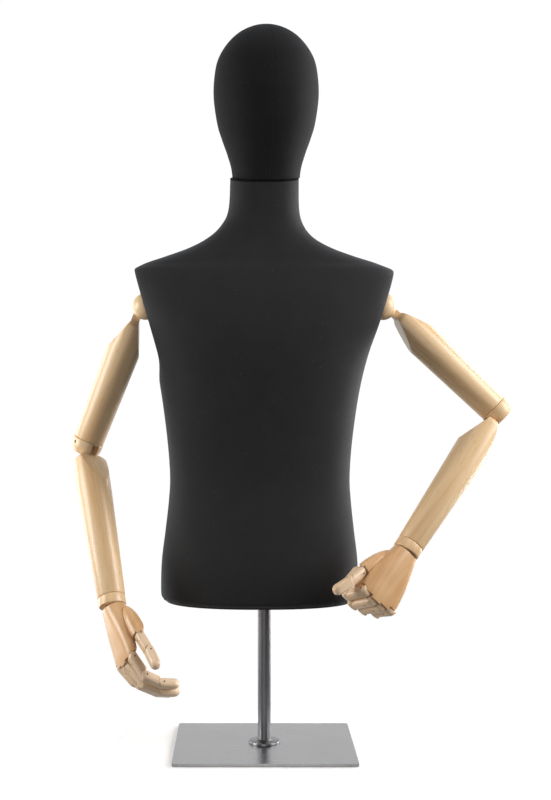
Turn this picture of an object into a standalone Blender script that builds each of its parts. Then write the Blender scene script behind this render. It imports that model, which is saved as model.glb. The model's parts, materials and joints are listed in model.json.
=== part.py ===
"""Articulated dress form: cloth covered torso and head on a pole stand, with jointed wooden arms."""
import math

import bmesh
import bpy
from mathutils import Matrix, Vector

# Stand
PLATE_SIZE = (0.300, 0.246, 0.005)
PLATE_CORNER = 0.004
FLANGE_RADIUS = 0.026
FLANGE_HEIGHT = 0.004
POLE_RADIUS = 0.011
POLE_BORE = 0.0096
POLE_TOP = 0.620
STUD_HEIGHT = 0.042
GAP = 0.0003

# Height collar under the torso
BOARD_Z = 0.262
BOARD_THICKNESS = 0.012
COLLAR_BORE = 0.01115
COLLAR_RADIUS = 0.0175
COLLAR_BOTTOM = 0.2435
COLLAR_FLANGE_RADIUS = 0.034
COLLAR_FLANGE_HEIGHT = 0.005
SCREW_Z = 0.2500
SCREW_RADIUS = 0.0030

# Torso: height, half width, front depth, back depth, forward shift, sideways shift of the section
TORSO_SECTIONS = (
    (0.2450, 0.1625, 0.106, 0.110, 0.000, -0.0085),
    (0.2560, 0.1660, 0.110, 0.115, 0.000, -0.0085),
    (0.3130, 0.1648, 0.111, 0.118, 0.000, -0.0080),
    (0.3640, 0.1588, 0.106, 0.110, 0.000, -0.0078),
    (0.4140, 0.1534, 0.100, 0.098, 0.000, -0.0076),
    (0.4565, 0.1514, 0.097, 0.091, 0.000, -0.0076),
    (0.5200, 0.1562, 0.101, 0.092, 0.000, -0.0076),
    (0.6000, 0.1675, 0.111, 0.106, 0.000, -0.0070),
    (0.6650, 0.1820, 0.118, 0.113, 0.000, -0.0050),
    (0.7150, 0.1995, 0.117, 0.116, 0.000, -0.0020),
    (0.7600, 0.2180, 0.106, 0.113, 0.000, 0.0000),
    (0.8005, 0.2240, 0.088, 0.101, 0.000, -0.0015),
    (0.8110, 0.2000, 0.080, 0.094, 0.000, -0.0060),
    (0.8240, 0.1615, 0.075, 0.086, 0.000, -0.0075),
    (0.8390, 0.1205, 0.069, 0.077, 0.000, -0.0070),
    (0.8560, 0.0895, 0.064, 0.067, 0.001, -0.0060),
    (0.8760, 0.0700, 0.061, 0.059, 0.004, -0.0035),
    (0.9020, 0.0597, 0.059, 0.056, 0.009, -0.0010),
    (0.9515, 0.0574, 0.058, 0.056, 0.018, 0.0000),
    (1.0000, 0.0570, 0.058, 0.056, 0.027, 0.0000),
)
TORSO_SEGMENTS = 28
TORSO_POWER = 2.35
COVER_THICKNESS = 0.0012
SHELL_THICKNESS = 0.005
ARM_PLANE_LEAN = 16.0
ARM_PLANE_X = 0.2175
ARM_PLANE_Z = 0.800
ARM_PLATE_LOW = 0.656
ARM_PLATE_HIGH = 0.806

# Head: height, half width, half depth, forward shift
HEAD_SECTIONS = (
    (0.9200, 0.0540, 0.0560, 0.012),
    (0.9650, 0.0575, 0.0600, 0.019),
    (0.9920, 0.0645, 0.0695, 0.021),
    (1.0190, 0.0740, 0.0820, 0.021),
    (1.0460, 0.0820, 0.0935, 0.020),
    (1.0900, 0.0880, 0.1040, 0.017),
    (1.1270, 0.0865, 0.1030, 0.014),
    (1.1540, 0.0805, 0.0960, 0.012),
    (1.1780, 0.0665, 0.0805, 0.010),
    (1.1960, 0.0485, 0.0590, 0.009),
    (1.2080, 0.0265, 0.0325, 0.008),
    (1.2126, 0.0060, 0.0080, 0.008),
)
HEAD_SEGMENTS = 22
HEAD_POWER = 2.05
HEAD_X = 0.0028
NECK_PLANE = (0.0, -0.018, 0.9553)
NECK_TILT = 13.0
NECK_GAP = 0.0006
PEG_RADIUS = 0.0120
PEG_BORE = 0.0122

# Arm
SHOULDER_OUT = 0.0095
SHOULDER_Y = -0.0008
SHOULDER_Z = 0.741
KNUCKLE_RADIUS = 0.023
SPIGOT_RADIUS = 0.008
SPIGOT_BORE = 0.00815
SHOULDER_BLOCK_RADIUS = 0.0245
SHOULDER_BLOCK_THICKNESS = 0.020
UPPER_LENGTH = 0.2499
UPPER_RADII = (0.0283, 0.0258)
FORE_LENGTH = 0.2789
FORE_RADII = (0.0286, 0.0225)
ELBOW_SEAM = 0.008
ELBOW_RADIUS = 0.0262
ELBOW_DEPTH = 0.0165
TONGUE_HALF = 0.0060
SLOT_HALF = 0.0063
TONGUE_ROUND = 0.0062
FACET_ANGLE = 21.0
FACET_LENGTH = 0.080
PIN_RADIUS = 0.0022
PIN_BORE = 0.00230
DOWEL_RADIUS = 0.0060
DOWEL_BORE = 0.00610
DOWEL_LENGTH = 0.018
WRIST_LENGTH = 0.016
WRIST_PIN = 0.0130
LIMB_SEGMENTS = 20

# Hand
PALM_SECTIONS = (
    (-0.0050, 0.0205, 0.0180),
    (-0.0200, 0.0250, 0.0175),
    (-0.0500, 0.0340, 0.0158),
    (-0.0780, 0.0385, 0.0135),
    (-0.1170, 0.0405, 0.0118),
)
PALM_SEGMENTS = 20
PALM_POWER = 2.6
FINGER_WIDTH = 0.0176
FINGER_PITCH = 0.0200
FINGER_ROUND = 0.0085
FINGER_PALMAR = 0.0068
FINGER_SCOOP = 0.0092
FINGER_TONGUE = 0.0025
FINGER_SLOT = 0.0028
SCOOP_START = 60.0
PALM_TONGUE_REACH = 0.0130
THUMB_SOCKET_REACH = 0.0125
EDGE_SOCKET_EXTRA = 0.0200
FINGERS = {
    "index": (1.5, -0.1010, (0.0340, 0.0285, 0.0265)),
    "middle": (0.5, -0.1050, (0.0370, 0.0300, 0.0275)),
    "ring": (-0.5, -0.1020, (0.0345, 0.0290, 0.0270)),
    "little": (-1.5, -0.0950, (0.0290, 0.0240, 0.0240)),
}
THUMB_BASE = (0.0400, 0.0160, -0.0715)
THUMB_LENGTHS = (0.0350, 0.0320)
THUMB_ROOT_LIFT = 4.0
HEEL_PROFILE = (
    (0.0040, 0.058),
    (0.0092, 0.050),
    (0.0124, 0.034),
    (0.0130, 0.018),
    (0.0120, 0.000),
)
CROWN_TOP = 0.0037
CROWN_SLOPE = 0.175

# Angles of the pose in degrees; "l" is the figure's own left arm, on the +X side
SIDES = {"l": 1.0, "r": -1.0}
POSE = {
    "l": {
        "swing": 6.4, "raise": 62.0, "turn": 13.7, "bend": -82.0, "wrist_turn": 115.2,
        "wrist_bend": -3.4, "thumb": (24.5, -6.7, 14.1),
        "index": (72.0, 80.0, 44.0), "middle": (75.0, 80.0, 44.0),
        "ring": (76.0, 80.0, 44.0), "little": (77.0, 78.0, 44.0),
    },
    "r": {
        "swing": -7.5, "raise": 37.5, "turn": -52.4, "bend": 48.0, "wrist_turn": 66.5,
        "wrist_bend": 5.8, "thumb": (20.3, 7.3, -3.2),
        "index": (21.0, 34.0, 24.0), "middle": (24.0, 32.0, 24.0),
        "ring": (26.0, 30.0, 22.0), "little": (28.0, 28.0, 20.0),
    },
}

WOOD = ("beech", (0.80, 0.60, 0.40), 0.45, 0.0)
DARK_CLOTH = ("charcoal_cloth", (0.035, 0.036, 0.038), 0.9, 0.0)
SHELL = ("moulded_shell", (0.60, 0.58, 0.54), 0.6, 0.0)
GREY_STEEL = ("satin_steel", (0.42, 0.42, 0.43), 0.35, 1.0)
DARK_STEEL = ("dark_steel", (0.10, 0.10, 0.11), 0.35, 1.0)


def clear_scene():
    for item in list(bpy.data.objects):
        bpy.data.objects.remove(item, do_unlink=True)


def material(look):
    name, colour, roughness, metallic = look
    found = bpy.data.materials.get(name)
    if found:
        return found
    made = bpy.data.materials.new(name)
    made.use_nodes = True
    shader = made.node_tree.nodes["Principled BSDF"]
    shader.inputs["Base Color"].default_value = (*colour, 1.0)
    shader.inputs["Roughness"].default_value = roughness
    shader.inputs["Metallic"].default_value = metallic
    return made


def new_object(name, bm, frame):
    bmesh.ops.recalc_face_normals(bm, faces=bm.faces)
    mesh = bpy.data.meshes.new(name)
    bm.to_mesh(mesh)
    bm.free()
    made = bpy.data.objects.new(name, mesh)
    bpy.context.scene.collection.objects.link(made)
    made.matrix_world = frame
    return made


def piece(name, bm, frame, look, steps=()):
    """Makes one sub-part; steps are Boolean operations with shapes given in the same frame."""
    made = new_object(name, bm, frame)
    made.data.materials.append(material(look))
    for number, (operation, shape) in enumerate(steps):
        cutter = new_object(f"cut_{name}_{number}", shape, frame)
        cutter.hide_render = True
        cutter.display_type = "WIRE"
        step = made.modifiers.new(f"step_{number}", "BOOLEAN")
        step.operation = operation
        step.solver = "EXACT"
        step.object = cutter
    return made


def skin(rings, cap_low=True, cap_high=True):
    """A closed body through rings that all have the same number of points."""
    bm = bmesh.new()
    loops = [[bm.verts.new(point) for point in ring] for ring in rings]
    count = len(loops[0])
    for low, high in zip(loops, loops[1:]):
        for k in range(count):
            bm.faces.new((low[k], low[(k + 1) % count], high[(k + 1) % count], high[k]))
    if cap_low:
        bm.faces.new(loops[0])
    if cap_high:
        bm.faces.new(loops[-1])
    return bm


def lathe(profile, segments=LIMB_SEGMENTS, centre=(0.0, 0.0)):
    """Turns (radius, height) points from one end to the other about Z."""
    rings = []
    for radius, height in profile:
        ring = []
        for k in range(segments):
            angle = 2.0 * math.pi * k / segments
            ring.append((centre[0] + radius * math.cos(angle), centre[1] + radius * math.sin(angle), height))
        rings.append(ring)
    return skin(rings)


def tube(outer, inner, low, high, segments=LIMB_SEGMENTS):
    """A plain sleeve about Z."""
    rings = []
    for radius, height in ((outer, low), (outer, high), (inner, high), (inner, low), (outer, low)):
        ring = []
        for k in range(segments):
            angle = 2.0 * math.pi * k / segments
            ring.append((radius * math.cos(angle), radius * math.sin(angle), height))
        rings.append(ring)
    bm = skin(rings, False, False)
    bmesh.ops.remove_doubles(bm, verts=bm.verts, dist=1e-7)
    return bm


def rod(radius, start, end, segments=16):
    """A round bar between two points."""
    start = Vector(start)
    along = Vector(end) - start
    bm = lathe(((radius, 0.0), (radius, along.length)), segments)
    turn = along.to_track_quat("Z", "Y").to_matrix().to_4x4()
    bmesh.ops.transform(bm, matrix=Matrix.Translation(start) @ turn, verts=bm.verts)
    return bm


def block(low, high):
    bm = bmesh.new()
    bmesh.ops.create_cube(bm, size=1.0)
    for vert in bm.verts:
        vert.co = Vector([low[i] + (vert.co[i] + 0.5) * (high[i] - low[i]) for i in range(3)])
    return bm


def ball(radius, segments=LIMB_SEGMENTS, rings=10):
    profile = []
    for k in range(rings + 1):
        angle = math.radians(-88.0 + 176.0 * k / rings)
        profile.append((radius * math.cos(angle), radius * math.sin(angle)))
    return lathe(profile, segments)


def prism(outline, low, high):
    """Extrudes a (y, z) outline along X."""
    rings = [[(x, y, z) for y, z in outline] for x in (low, high)]
    return skin(rings)


def arc(radius, first, last, count, centre=(0.0, 0.0)):
    points = []
    for k in range(count):
        angle = math.radians(first + (last - first) * k / (count - 1))
        points.append((centre[0] + radius * math.cos(angle), centre[1] + radius * math.sin(angle)))
    return points


def together(*shapes):
    """One cutter mesh from shapes that don't meet."""
    whole = bmesh.new()
    for shape in shapes:
        scratch = bpy.data.meshes.new("scratch")
        shape.to_mesh(scratch)
        shape.free()
        whole.from_mesh(scratch)
        bpy.data.meshes.remove(scratch)
    return whole


def moved(bm, matrix):
    bmesh.ops.transform(bm, matrix=matrix, verts=bm.verts)
    return bm


def rotation(axis, degrees):
    return Matrix.Rotation(math.radians(degrees), 4, axis)


def shift(x, y, z):
    return Matrix.Translation((x, y, z))


def oval_ring(height, wide, front, back, forward, grow, segments, power, centre_x=0.0):
    """One superellipse section; front is towards -Y."""
    ring = []
    for k in range(segments):
        angle = 2.0 * math.pi * k / segments
        c = math.cos(angle)
        s = math.sin(angle)
        deep = back if s > 0 else front
        x = math.copysign(abs(c) ** (2.0 / power), c) * (wide + grow)
        y = math.copysign(abs(s) ** (2.0 / power), s) * (deep + grow)
        ring.append((centre_x + x, y - forward, height))
    return ring


def slice_off(bm, point, normal):
    """Cuts away everything on the normal's side of a plane and closes the cut."""
    geometry = list(bm.verts) + list(bm.edges) + list(bm.faces)
    cut = bmesh.ops.bisect_plane(
        bm, geom=geometry, dist=1e-6, plane_co=point, plane_no=normal, clear_outer=True)
    edges = [item for item in cut["geom_cut"] if isinstance(item, bmesh.types.BMEdge)]
    bmesh.ops.contextual_create(bm, geom=edges)


def arm_normal(side):
    lean = math.radians(ARM_PLANE_LEAN)
    return Vector((side * math.cos(lean), 0.0, -math.sin(lean)))


def flattened(ring, level, grow):
    """Presses the sides of a section back to the slanting arm plates."""
    lean = math.radians(ARM_PLANE_LEAN)
    limit = ARM_PLANE_X - (ARM_PLANE_Z - level) * math.tan(lean) + grow / math.cos(lean)
    return [(math.copysign(min(abs(x), limit), x), y, z) for x, y, z in ring]


def neck_normal():
    tilt = math.radians(NECK_TILT)
    return Vector((0.0, -math.sin(tilt), math.cos(tilt)))


def torso_solid(grow, below, neck_step):
    """Torso body grown by an offset; below runs it on past the hem, neck_step moves the neck cut."""
    rings = []
    height, wide, front, back, forward, aside = TORSO_SECTIONS[0]
    if below > 0.0:
        rings.append(oval_ring(
            height - below, wide, front, back, forward, grow, TORSO_SEGMENTS, TORSO_POWER, aside))
    for height, wide, front, back, forward, aside in TORSO_SECTIONS:
        level = height
        if 0.78 < height < 0.87:
            level = height + 0.9 * grow
        ring = oval_ring(
            level, wide, front, back, forward, grow, TORSO_SEGMENTS, TORSO_POWER, aside)
        if ARM_PLATE_LOW < height < ARM_PLATE_HIGH:
            ring = flattened(ring, level, grow)
        rings.append(ring)
    bm = skin(rings)
    slice_off(bm, Vector(NECK_PLANE) + neck_normal() * neck_step, neck_normal())
    return bm


def head_solid(grow, neck_step):
    rings = []
    last = len(HEAD_SECTIONS) - 1
    for number, (height, wide, deep, forward) in enumerate(HEAD_SECTIONS):
        level = height
        if number >= last - 2:
            level = height + grow * (0.8, 0.95, 1.0)[number - last + 2]
        tight = grow if number < last else 0.2 * grow
        rings.append(
            oval_ring(level, wide, deep, deep, forward, tight, HEAD_SEGMENTS, HEAD_POWER, HEAD_X))
    bm = skin(rings)
    slice_off(bm, Vector(NECK_PLANE) + neck_normal() * neck_step, -neck_normal())
    return bm


def facing(point, direction):
    """A frame at a point whose Z runs along a direction."""
    return Matrix.Translation(point) @ Vector(direction).to_track_quat("Z", "Y").to_matrix().to_4x4()


def arm_frames(key):
    """World frames of one arm's joints; every limb runs down its own -Z and every hinge is its X."""
    side = SIDES[key]
    pose = POSE[key]
    lean = math.radians(ARM_PLANE_LEAN)
    along = Vector((0.0, -1.0, 0.0))
    up = Vector((side * math.sin(lean), 0.0, math.cos(lean)))
    across = up.cross(along)
    base = Matrix.Identity(4)
    for row in range(3):
        base[row][0] = along[row]
        base[row][1] = across[row]
        base[row][2] = up[row]
    drop = (ARM_PLANE_Z - SHOULDER_Z) * math.tan(lean)
    foot = Vector((side * (ARM_PLANE_X - drop), SHOULDER_Y, SHOULDER_Z))
    pin = foot + arm_normal(side) * SHOULDER_OUT
    frames = {}
    frames["shoulder"] = Matrix.Translation(pin) @ base @ rotation("Y", -pose["swing"])
    frames["upper"] = frames["shoulder"] @ rotation("X", side * pose["raise"])
    frames["elbow"] = frames["upper"] @ shift(0.0, 0.0, -UPPER_LENGTH) @ rotation("Z", pose["turn"])
    frames["fore"] = frames["elbow"] @ rotation("X", pose["bend"])
    frames["wrist"] = frames["fore"] @ shift(0.0, 0.0, -FORE_LENGTH) @ rotation("Z", pose["wrist_turn"])
    frames["palm"] = frames["wrist"] @ shift(0.0, 0.0, -WRIST_PIN) @ rotation("X", pose["wrist_bend"])
    thumb_side = -side
    splay, first, second = pose["thumb"]
    x, y, z = THUMB_BASE
    base_thumb = frames["palm"] @ shift(thumb_side * x, y, z) @ rotation("Y", -thumb_side * splay)
    frames["thumb_root"] = base_thumb @ rotation("X", THUMB_ROOT_LIFT)
    frames["thumb_1"] = base_thumb @ rotation("X", first)
    frames["thumb_2"] = frames["thumb_1"] @ shift(0.0, 0.0, -THUMB_LENGTHS[0]) @ rotation("X", second)
    for name, (place, z, lengths) in FINGERS.items():
        here = frames["palm"] @ shift(thumb_side * place * FINGER_PITCH, 0.0, z)
        for number in range(3):
            here = here @ rotation("X", pose[name][number])
            frames[f"{name}_{number + 1}"] = here
            here = here @ shift(0.0, 0.0, -lengths[number])
    return frames


def phalanx(length, tip):
    """Finger segment hung on its hinge at the origin and running down -Z, palm side towards +Y."""
    slope = math.degrees(math.acos(FINGER_PALMAR / FINGER_ROUND))
    head = arc(FINGER_ROUND, 180.0, slope, 6)
    floor_z = -TONGUE_ROUND - 0.0010
    step = (FINGER_PALMAR + FINGER_ROUND) / 5.0
    slot = [(-FINGER_ROUND + step * k, floor_z) for k in range(6)]
    if tip:
        end = arc(1.0, 0.0, -180.0, 7)
        middle = 0.5 * (FINGER_PALMAR - FINGER_ROUND)
        half = 0.5 * (FINGER_PALMAR + FINGER_ROUND)
        start = -length + 0.0080
        end = [(middle + half * y, start + 0.0080 * z) for y, z in end]
        plain = head + end
        slotted = slot + end
        layers = (
            (-0.5 * FINGER_WIDTH, plain), (-FINGER_SLOT, plain), (-FINGER_SLOT, slotted),
            (FINGER_SLOT, slotted), (FINGER_SLOT, plain), (0.5 * FINGER_WIDTH, plain))
    else:
        centre = (0.0, -length)
        rise = FINGER_PALMAR * math.tan(math.radians(SCOOP_START))
        scoop = arc(FINGER_SCOOP, SCOOP_START, 128.0, 6, centre)
        rim = math.degrees(math.acos(FINGER_ROUND / FINGER_SCOOP))
        lip = [(FINGER_PALMAR, rise - length)]
        back = [(-FINGER_ROUND, FINGER_SCOOP * math.sin(math.radians(rim)) - length)]
        disc = arc(TONGUE_ROUND - 0.0002, 12.0, -192.0, 4, centre)
        tongue = [scoop[0]] + disc + [scoop[-1]]
        plain = head + lip + scoop + back
        slotted = slot + lip + scoop + back
        tongued = slot + lip + tongue + back
        layers = (
            (-0.5 * FINGER_WIDTH, plain), (-FINGER_SLOT, plain), (-FINGER_SLOT, slotted),
            (-FINGER_TONGUE, slotted), (-FINGER_TONGUE, tongued), (FINGER_TONGUE, tongued),
            (FINGER_TONGUE, slotted), (FINGER_SLOT, slotted), (FINGER_SLOT, plain),
            (0.5 * FINGER_WIDTH, plain))
    bm = skin([[(x, y, z) for y, z in outline] for x, outline in layers])
    bmesh.ops.remove_doubles(bm, verts=bm.verts, dist=1e-6)
    return bm


def socket_cutter(width, reach):
    """Clears room on a parent for a finger root that hinges at the origin."""
    start = math.radians(SCOOP_START)
    outline = [(reach, reach * math.tan(start))]
    outline += arc(FINGER_SCOOP, SCOOP_START, 168.0, 6)
    outline += [(-reach, 0.0018), (-reach, -0.040), (reach, -0.040)]
    return prism(outline, -0.5 * width, 0.5 * width)


def socket_tongue(reach):
    """Tongue on the parent that carries the finger's hinge pin."""
    outline = arc(TONGUE_ROUND - 0.0002, 0.0, -180.0, 7)
    outline += [(-0.0050, reach), (0.0040, reach)]
    return prism(outline, -FINGER_TONGUE, FINGER_TONGUE)


def limb_profile(radii, top, bottom):
    first, last = radii
    return ((0.55 * first, top), (0.85 * first, top - 0.004), (first, top - 0.014),
            (first, -FACET_LENGTH), (last, bottom + 0.0015), (last - 0.0012, bottom))


def facet_cutters(radius):
    """Two flat cuts that narrow a limb towards its tongue, across the hinge."""
    slope = math.tan(math.radians(FACET_ANGLE))
    shapes = []
    for sign in (1.0, -1.0):
        low = -FACET_LENGTH - 0.010
        high = 0.020
        outline = [
            (sign * (radius - slope * (low + FACET_LENGTH)), low),
            (sign * (radius - slope * (high + FACET_LENGTH)), high),
            (sign * 0.080, high),
            (sign * 0.080, low),
        ]
        shapes.append(prism(outline, -0.060, 0.060))
    return shapes


def limb_tongue(reach):
    outline = arc(TONGUE_ROUND, 180.0, 0.0, 9) + [(0.0078, -reach), (-0.0078, -reach)]
    return prism(outline, -TONGUE_HALF, TONGUE_HALF)


def dowel_bore(bottom):
    """Cutter for the blind hole in the end of a limb that the next joint's dowel turns in."""
    return lathe(((DOWEL_BORE, bottom - 0.01), (DOWEL_BORE, bottom + DOWEL_LENGTH + 0.001)), 24)


def build_stand():
    x, y, z = PLATE_SIZE
    corner = PLATE_CORNER
    outline = []
    for cx, cy, first in ((1, 1, 0.0), (-1, 1, 90.0), (-1, -1, 180.0), (1, -1, 270.0)):
        outline += arc(corner, first, first + 90.0, 4, (cx * (x / 2 - corner), cy * (y / 2 - corner)))
    rings = [[(px, py, level) for px, py in outline] for level in (0.0, z)]
    piece("base_plate", skin(rings), Matrix.Identity(4), GREY_STEEL)
    low = z + GAP
    piece("base_flange", tube(FLANGE_RADIUS, POLE_RADIUS + GAP, low, low + FLANGE_HEIGHT, 32),
          Matrix.Identity(4), GREY_STEEL)
    piece("base_stud", lathe(((POLE_BORE - GAP, low), (POLE_BORE - GAP, low + STUD_HEIGHT)), 24),
          Matrix.Identity(4), DARK_STEEL)
    piece("pole", tube(POLE_RADIUS, POLE_BORE, low, POLE_TOP, 24), Matrix.Identity(4), DARK_STEEL)


def build_collar():
    top = BOARD_Z - GAP
    shoulder = top - COLLAR_FLANGE_HEIGHT
    rings = ((COLLAR_RADIUS, COLLAR_BOTTOM), (COLLAR_RADIUS, shoulder), (COLLAR_FLANGE_RADIUS, shoulder),
             (COLLAR_FLANGE_RADIUS, top), (COLLAR_BORE, top), (COLLAR_BORE, COLLAR_BOTTOM),
             (COLLAR_RADIUS, COLLAR_BOTTOM))
    body = skin([[(r * math.cos(2 * math.pi * k / 24), r * math.sin(2 * math.pi * k / 24), h)
                  for k in range(24)] for r, h in rings], False, False)
    bmesh.ops.remove_doubles(body, verts=body.verts, dist=1e-7)
    hole = rod(SCREW_RADIUS + GAP, (0.0, 0.5 * COLLAR_BORE, SCREW_Z), (0.0, 0.030, SCREW_Z))
    piece("support_collar", body, Matrix.Identity(4), DARK_STEEL, [("DIFFERENCE", hole)])
    turn = facing((0.0, POLE_RADIUS + 0.0006, SCREW_Z), (0.0, 1.0, 0.0))
    reach = COLLAR_RADIUS - POLE_RADIUS + 0.001
    screw = lathe(((SCREW_RADIUS, 0.0), (SCREW_RADIUS, reach), (0.0052, reach + 0.0002),
                   (0.0052, reach + 0.008), (0.0044, reach + 0.009)), 16)
    piece("collar_screw", screw, turn, DARK_STEEL)


def build_torso():
    inner = COVER_THICKNESS + 2.0 * GAP
    cover_steps = [("DIFFERENCE", torso_solid(-COVER_THICKNESS, 0.02, 0.03))]
    shell_steps = [("DIFFERENCE", torso_solid(-inner - SHELL_THICKNESS, 0.02, -0.008))]
    for key, side in SIDES.items():
        foot = arm_frames(key)["shoulder"].translation
        normal = arm_normal(side)
        cover_steps.append(("DIFFERENCE", rod(0.0100, foot - normal * 0.030, foot + normal * 0.020, 16)))
        shell_steps.append(("DIFFERENCE", rod(0.0095, foot - normal * 0.030, foot + normal * 0.020, 16)))
    neck = Vector(NECK_PLANE)
    axis = neck_normal()
    shell_steps.append(("DIFFERENCE", rod(PEG_BORE, neck - axis * 0.030, neck + axis * 0.030, 20)))
    piece("torso_cover", torso_solid(0.0, 0.0, -GAP), Matrix.Identity(4), DARK_CLOTH, cover_steps)
    piece("torso_shell", torso_solid(-inner, 0.0, -GAP), Matrix.Identity(4), SHELL, shell_steps)
    first = TORSO_SECTIONS[1]
    grow = -inner - SHELL_THICKNESS - 0.0020
    rings = []
    for level in (BOARD_Z, BOARD_Z + BOARD_THICKNESS):
        rings.append(oval_ring(
            level, first[1], first[2], first[3], 0.0, grow, TORSO_SEGMENTS, TORSO_POWER, first[5]))
    hole = lathe(((POLE_RADIUS + 0.002, BOARD_Z - 0.01), (POLE_RADIUS + 0.002, BOARD_Z + 0.03)), 24)
    piece("bottom_board", skin(rings), Matrix.Identity(4), WOOD, [("DIFFERENCE", hole)])


def build_head():
    axis = neck_normal()
    neck = Vector(NECK_PLANE)
    cover_steps = [("DIFFERENCE", head_solid(-COVER_THICKNESS, -0.02))]
    piece("head_cover", head_solid(0.0, NECK_GAP), Matrix.Identity(4), DARK_CLOTH, cover_steps)
    socket = rod(PEG_BORE, neck - axis * 0.01, neck + axis * 0.0603, 20)
    piece("head_core", head_solid(-COVER_THICKNESS - GAP, NECK_GAP), Matrix.Identity(4), SHELL,
          [("DIFFERENCE", socket)])
    frame = facing(neck, axis)
    peg = lathe(((PEG_RADIUS - 0.001, -0.045), (PEG_RADIUS, -0.043), (PEG_RADIUS, 0.058),
                 (PEG_RADIUS - 0.001, 0.060)), 20)
    piece("head_peg", peg, frame, WOOD)


def build_upper_arm(key, frames):
    side = SIDES[key]
    normal = arm_normal(side)
    pin = frames["shoulder"].translation
    foot = pin - normal * SHOULDER_OUT
    inward = -side
    depth = COVER_THICKNESS + SHELL_THICKNESS + 4.0 * GAP
    socket = facing(foot - normal * (depth + SHOULDER_BLOCK_THICKNESS), normal)
    cut = lathe(((SPIGOT_BORE, -0.01), (SPIGOT_BORE, 0.04)), 24)
    disc = lathe(((SHOULDER_BLOCK_RADIUS, 0.0), (SHOULDER_BLOCK_RADIUS, SHOULDER_BLOCK_THICKNESS)), 24)
    piece(f"{key}_shoulder_block", disc, socket, WOOD, [("DIFFERENCE", cut)])

    # In the shoulder frame +Y points along the body's +X, so the arm's outward side is side * Y.
    to_normal = rotation("X", -90.0 * side)
    dome = []
    for k in range(7):
        angle = math.radians(90.0 * k / 7)
        dome.append((KNUCKLE_RADIUS * math.cos(angle), KNUCKLE_RADIUS * math.sin(angle)))
    profile = [(SPIGOT_RADIUS, -depth - SHOULDER_BLOCK_THICKNESS + 0.002), (SPIGOT_RADIUS, GAP)]
    profile += [(r, max(h, GAP)) for r, h in dome] + [(0.002, KNUCKLE_RADIUS)]
    knuckle = moved(lathe(profile, 24), shift(0.0, inward * SHOULDER_OUT, 0.0) @ to_normal)
    floor_y = inward * (TONGUE_ROUND + GAP)
    top_y = side * 0.040
    slot = block((-SLOT_HALF, min(floor_y, top_y), -0.040), (SLOT_HALF, max(floor_y, top_y), 0.040))
    bore = rod(PIN_BORE, (-0.040, 0.0, 0.0), (0.040, 0.0, 0.0))
    piece(f"{key}_shoulder_knuckle", knuckle, frames["shoulder"], WOOD,
          [("DIFFERENCE", slot), ("DIFFERENCE", bore)])
    piece(f"{key}_shoulder_pin", rod(PIN_RADIUS, (-0.0195, 0.0, 0.0), (0.0195, 0.0, 0.0)),
          frames["shoulder"], DARK_STEEL)

    bottom = -UPPER_LENGTH + ELBOW_SEAM + GAP
    body = lathe(limb_profile(UPPER_RADII, -0.018, bottom))
    steps = [("DIFFERENCE", shape) for shape in facet_cutters(UPPER_RADII[0])]
    steps += [
        ("DIFFERENCE", ball(0.0262)),
        ("UNION", limb_tongue(0.040)),
        ("DIFFERENCE", rod(PIN_BORE, (-0.040, 0.0, 0.0), (0.040, 0.0, 0.0))),
        ("DIFFERENCE", dowel_bore(bottom)),
    ]
    piece(f"{key}_upper_arm", body, frames["upper"], WOOD, steps)


def build_forearm(key, frames):
    dowel_top = ELBOW_SEAM + DOWEL_LENGTH
    profile = [(DOWEL_RADIUS - 0.0008, dowel_top), (DOWEL_RADIUS, dowel_top - 0.001), (DOWEL_RADIUS, ELBOW_SEAM)]
    profile += [(ELBOW_RADIUS - 0.0010, ELBOW_SEAM), (ELBOW_RADIUS, ELBOW_SEAM - 0.0015)]
    for level in (0.0, -0.006, -0.011, -0.0145):
        profile.append((math.sqrt(ELBOW_RADIUS ** 2 - level ** 2), level))
    profile.append((0.0185, -ELBOW_DEPTH))
    slot = block((-SLOT_HALF, -0.040, -0.040), (SLOT_HALF, 0.040, TONGUE_ROUND + GAP))
    bore = rod(PIN_BORE, (-0.040, 0.0, 0.0), (0.040, 0.0, 0.0))
    piece(f"{key}_elbow_knuckle", lathe(profile, 24), frames["elbow"], WOOD,
          [("DIFFERENCE", slot), ("DIFFERENCE", bore)])
    piece(f"{key}_elbow_pin", rod(PIN_RADIUS, (-0.0252, 0.0, 0.0), (0.0252, 0.0, 0.0)),
          frames["elbow"], DARK_STEEL)

    bottom = -FORE_LENGTH
    body = lathe(limb_profile(FORE_RADII, -0.020, bottom))
    steps = [("DIFFERENCE", shape) for shape in facet_cutters(FORE_RADII[0])]
    steps += [
        ("DIFFERENCE", ball(ELBOW_RADIUS + 0.0016)),
        ("UNION", limb_tongue(0.042)),
        ("DIFFERENCE", rod(PIN_BORE, (-0.040, 0.0, 0.0), (0.040, 0.0, 0.0))),
        ("DIFFERENCE", dowel_bore(bottom)),
    ]
    piece(f"{key}_forearm", body, frames["fore"], WOOD, steps)


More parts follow.
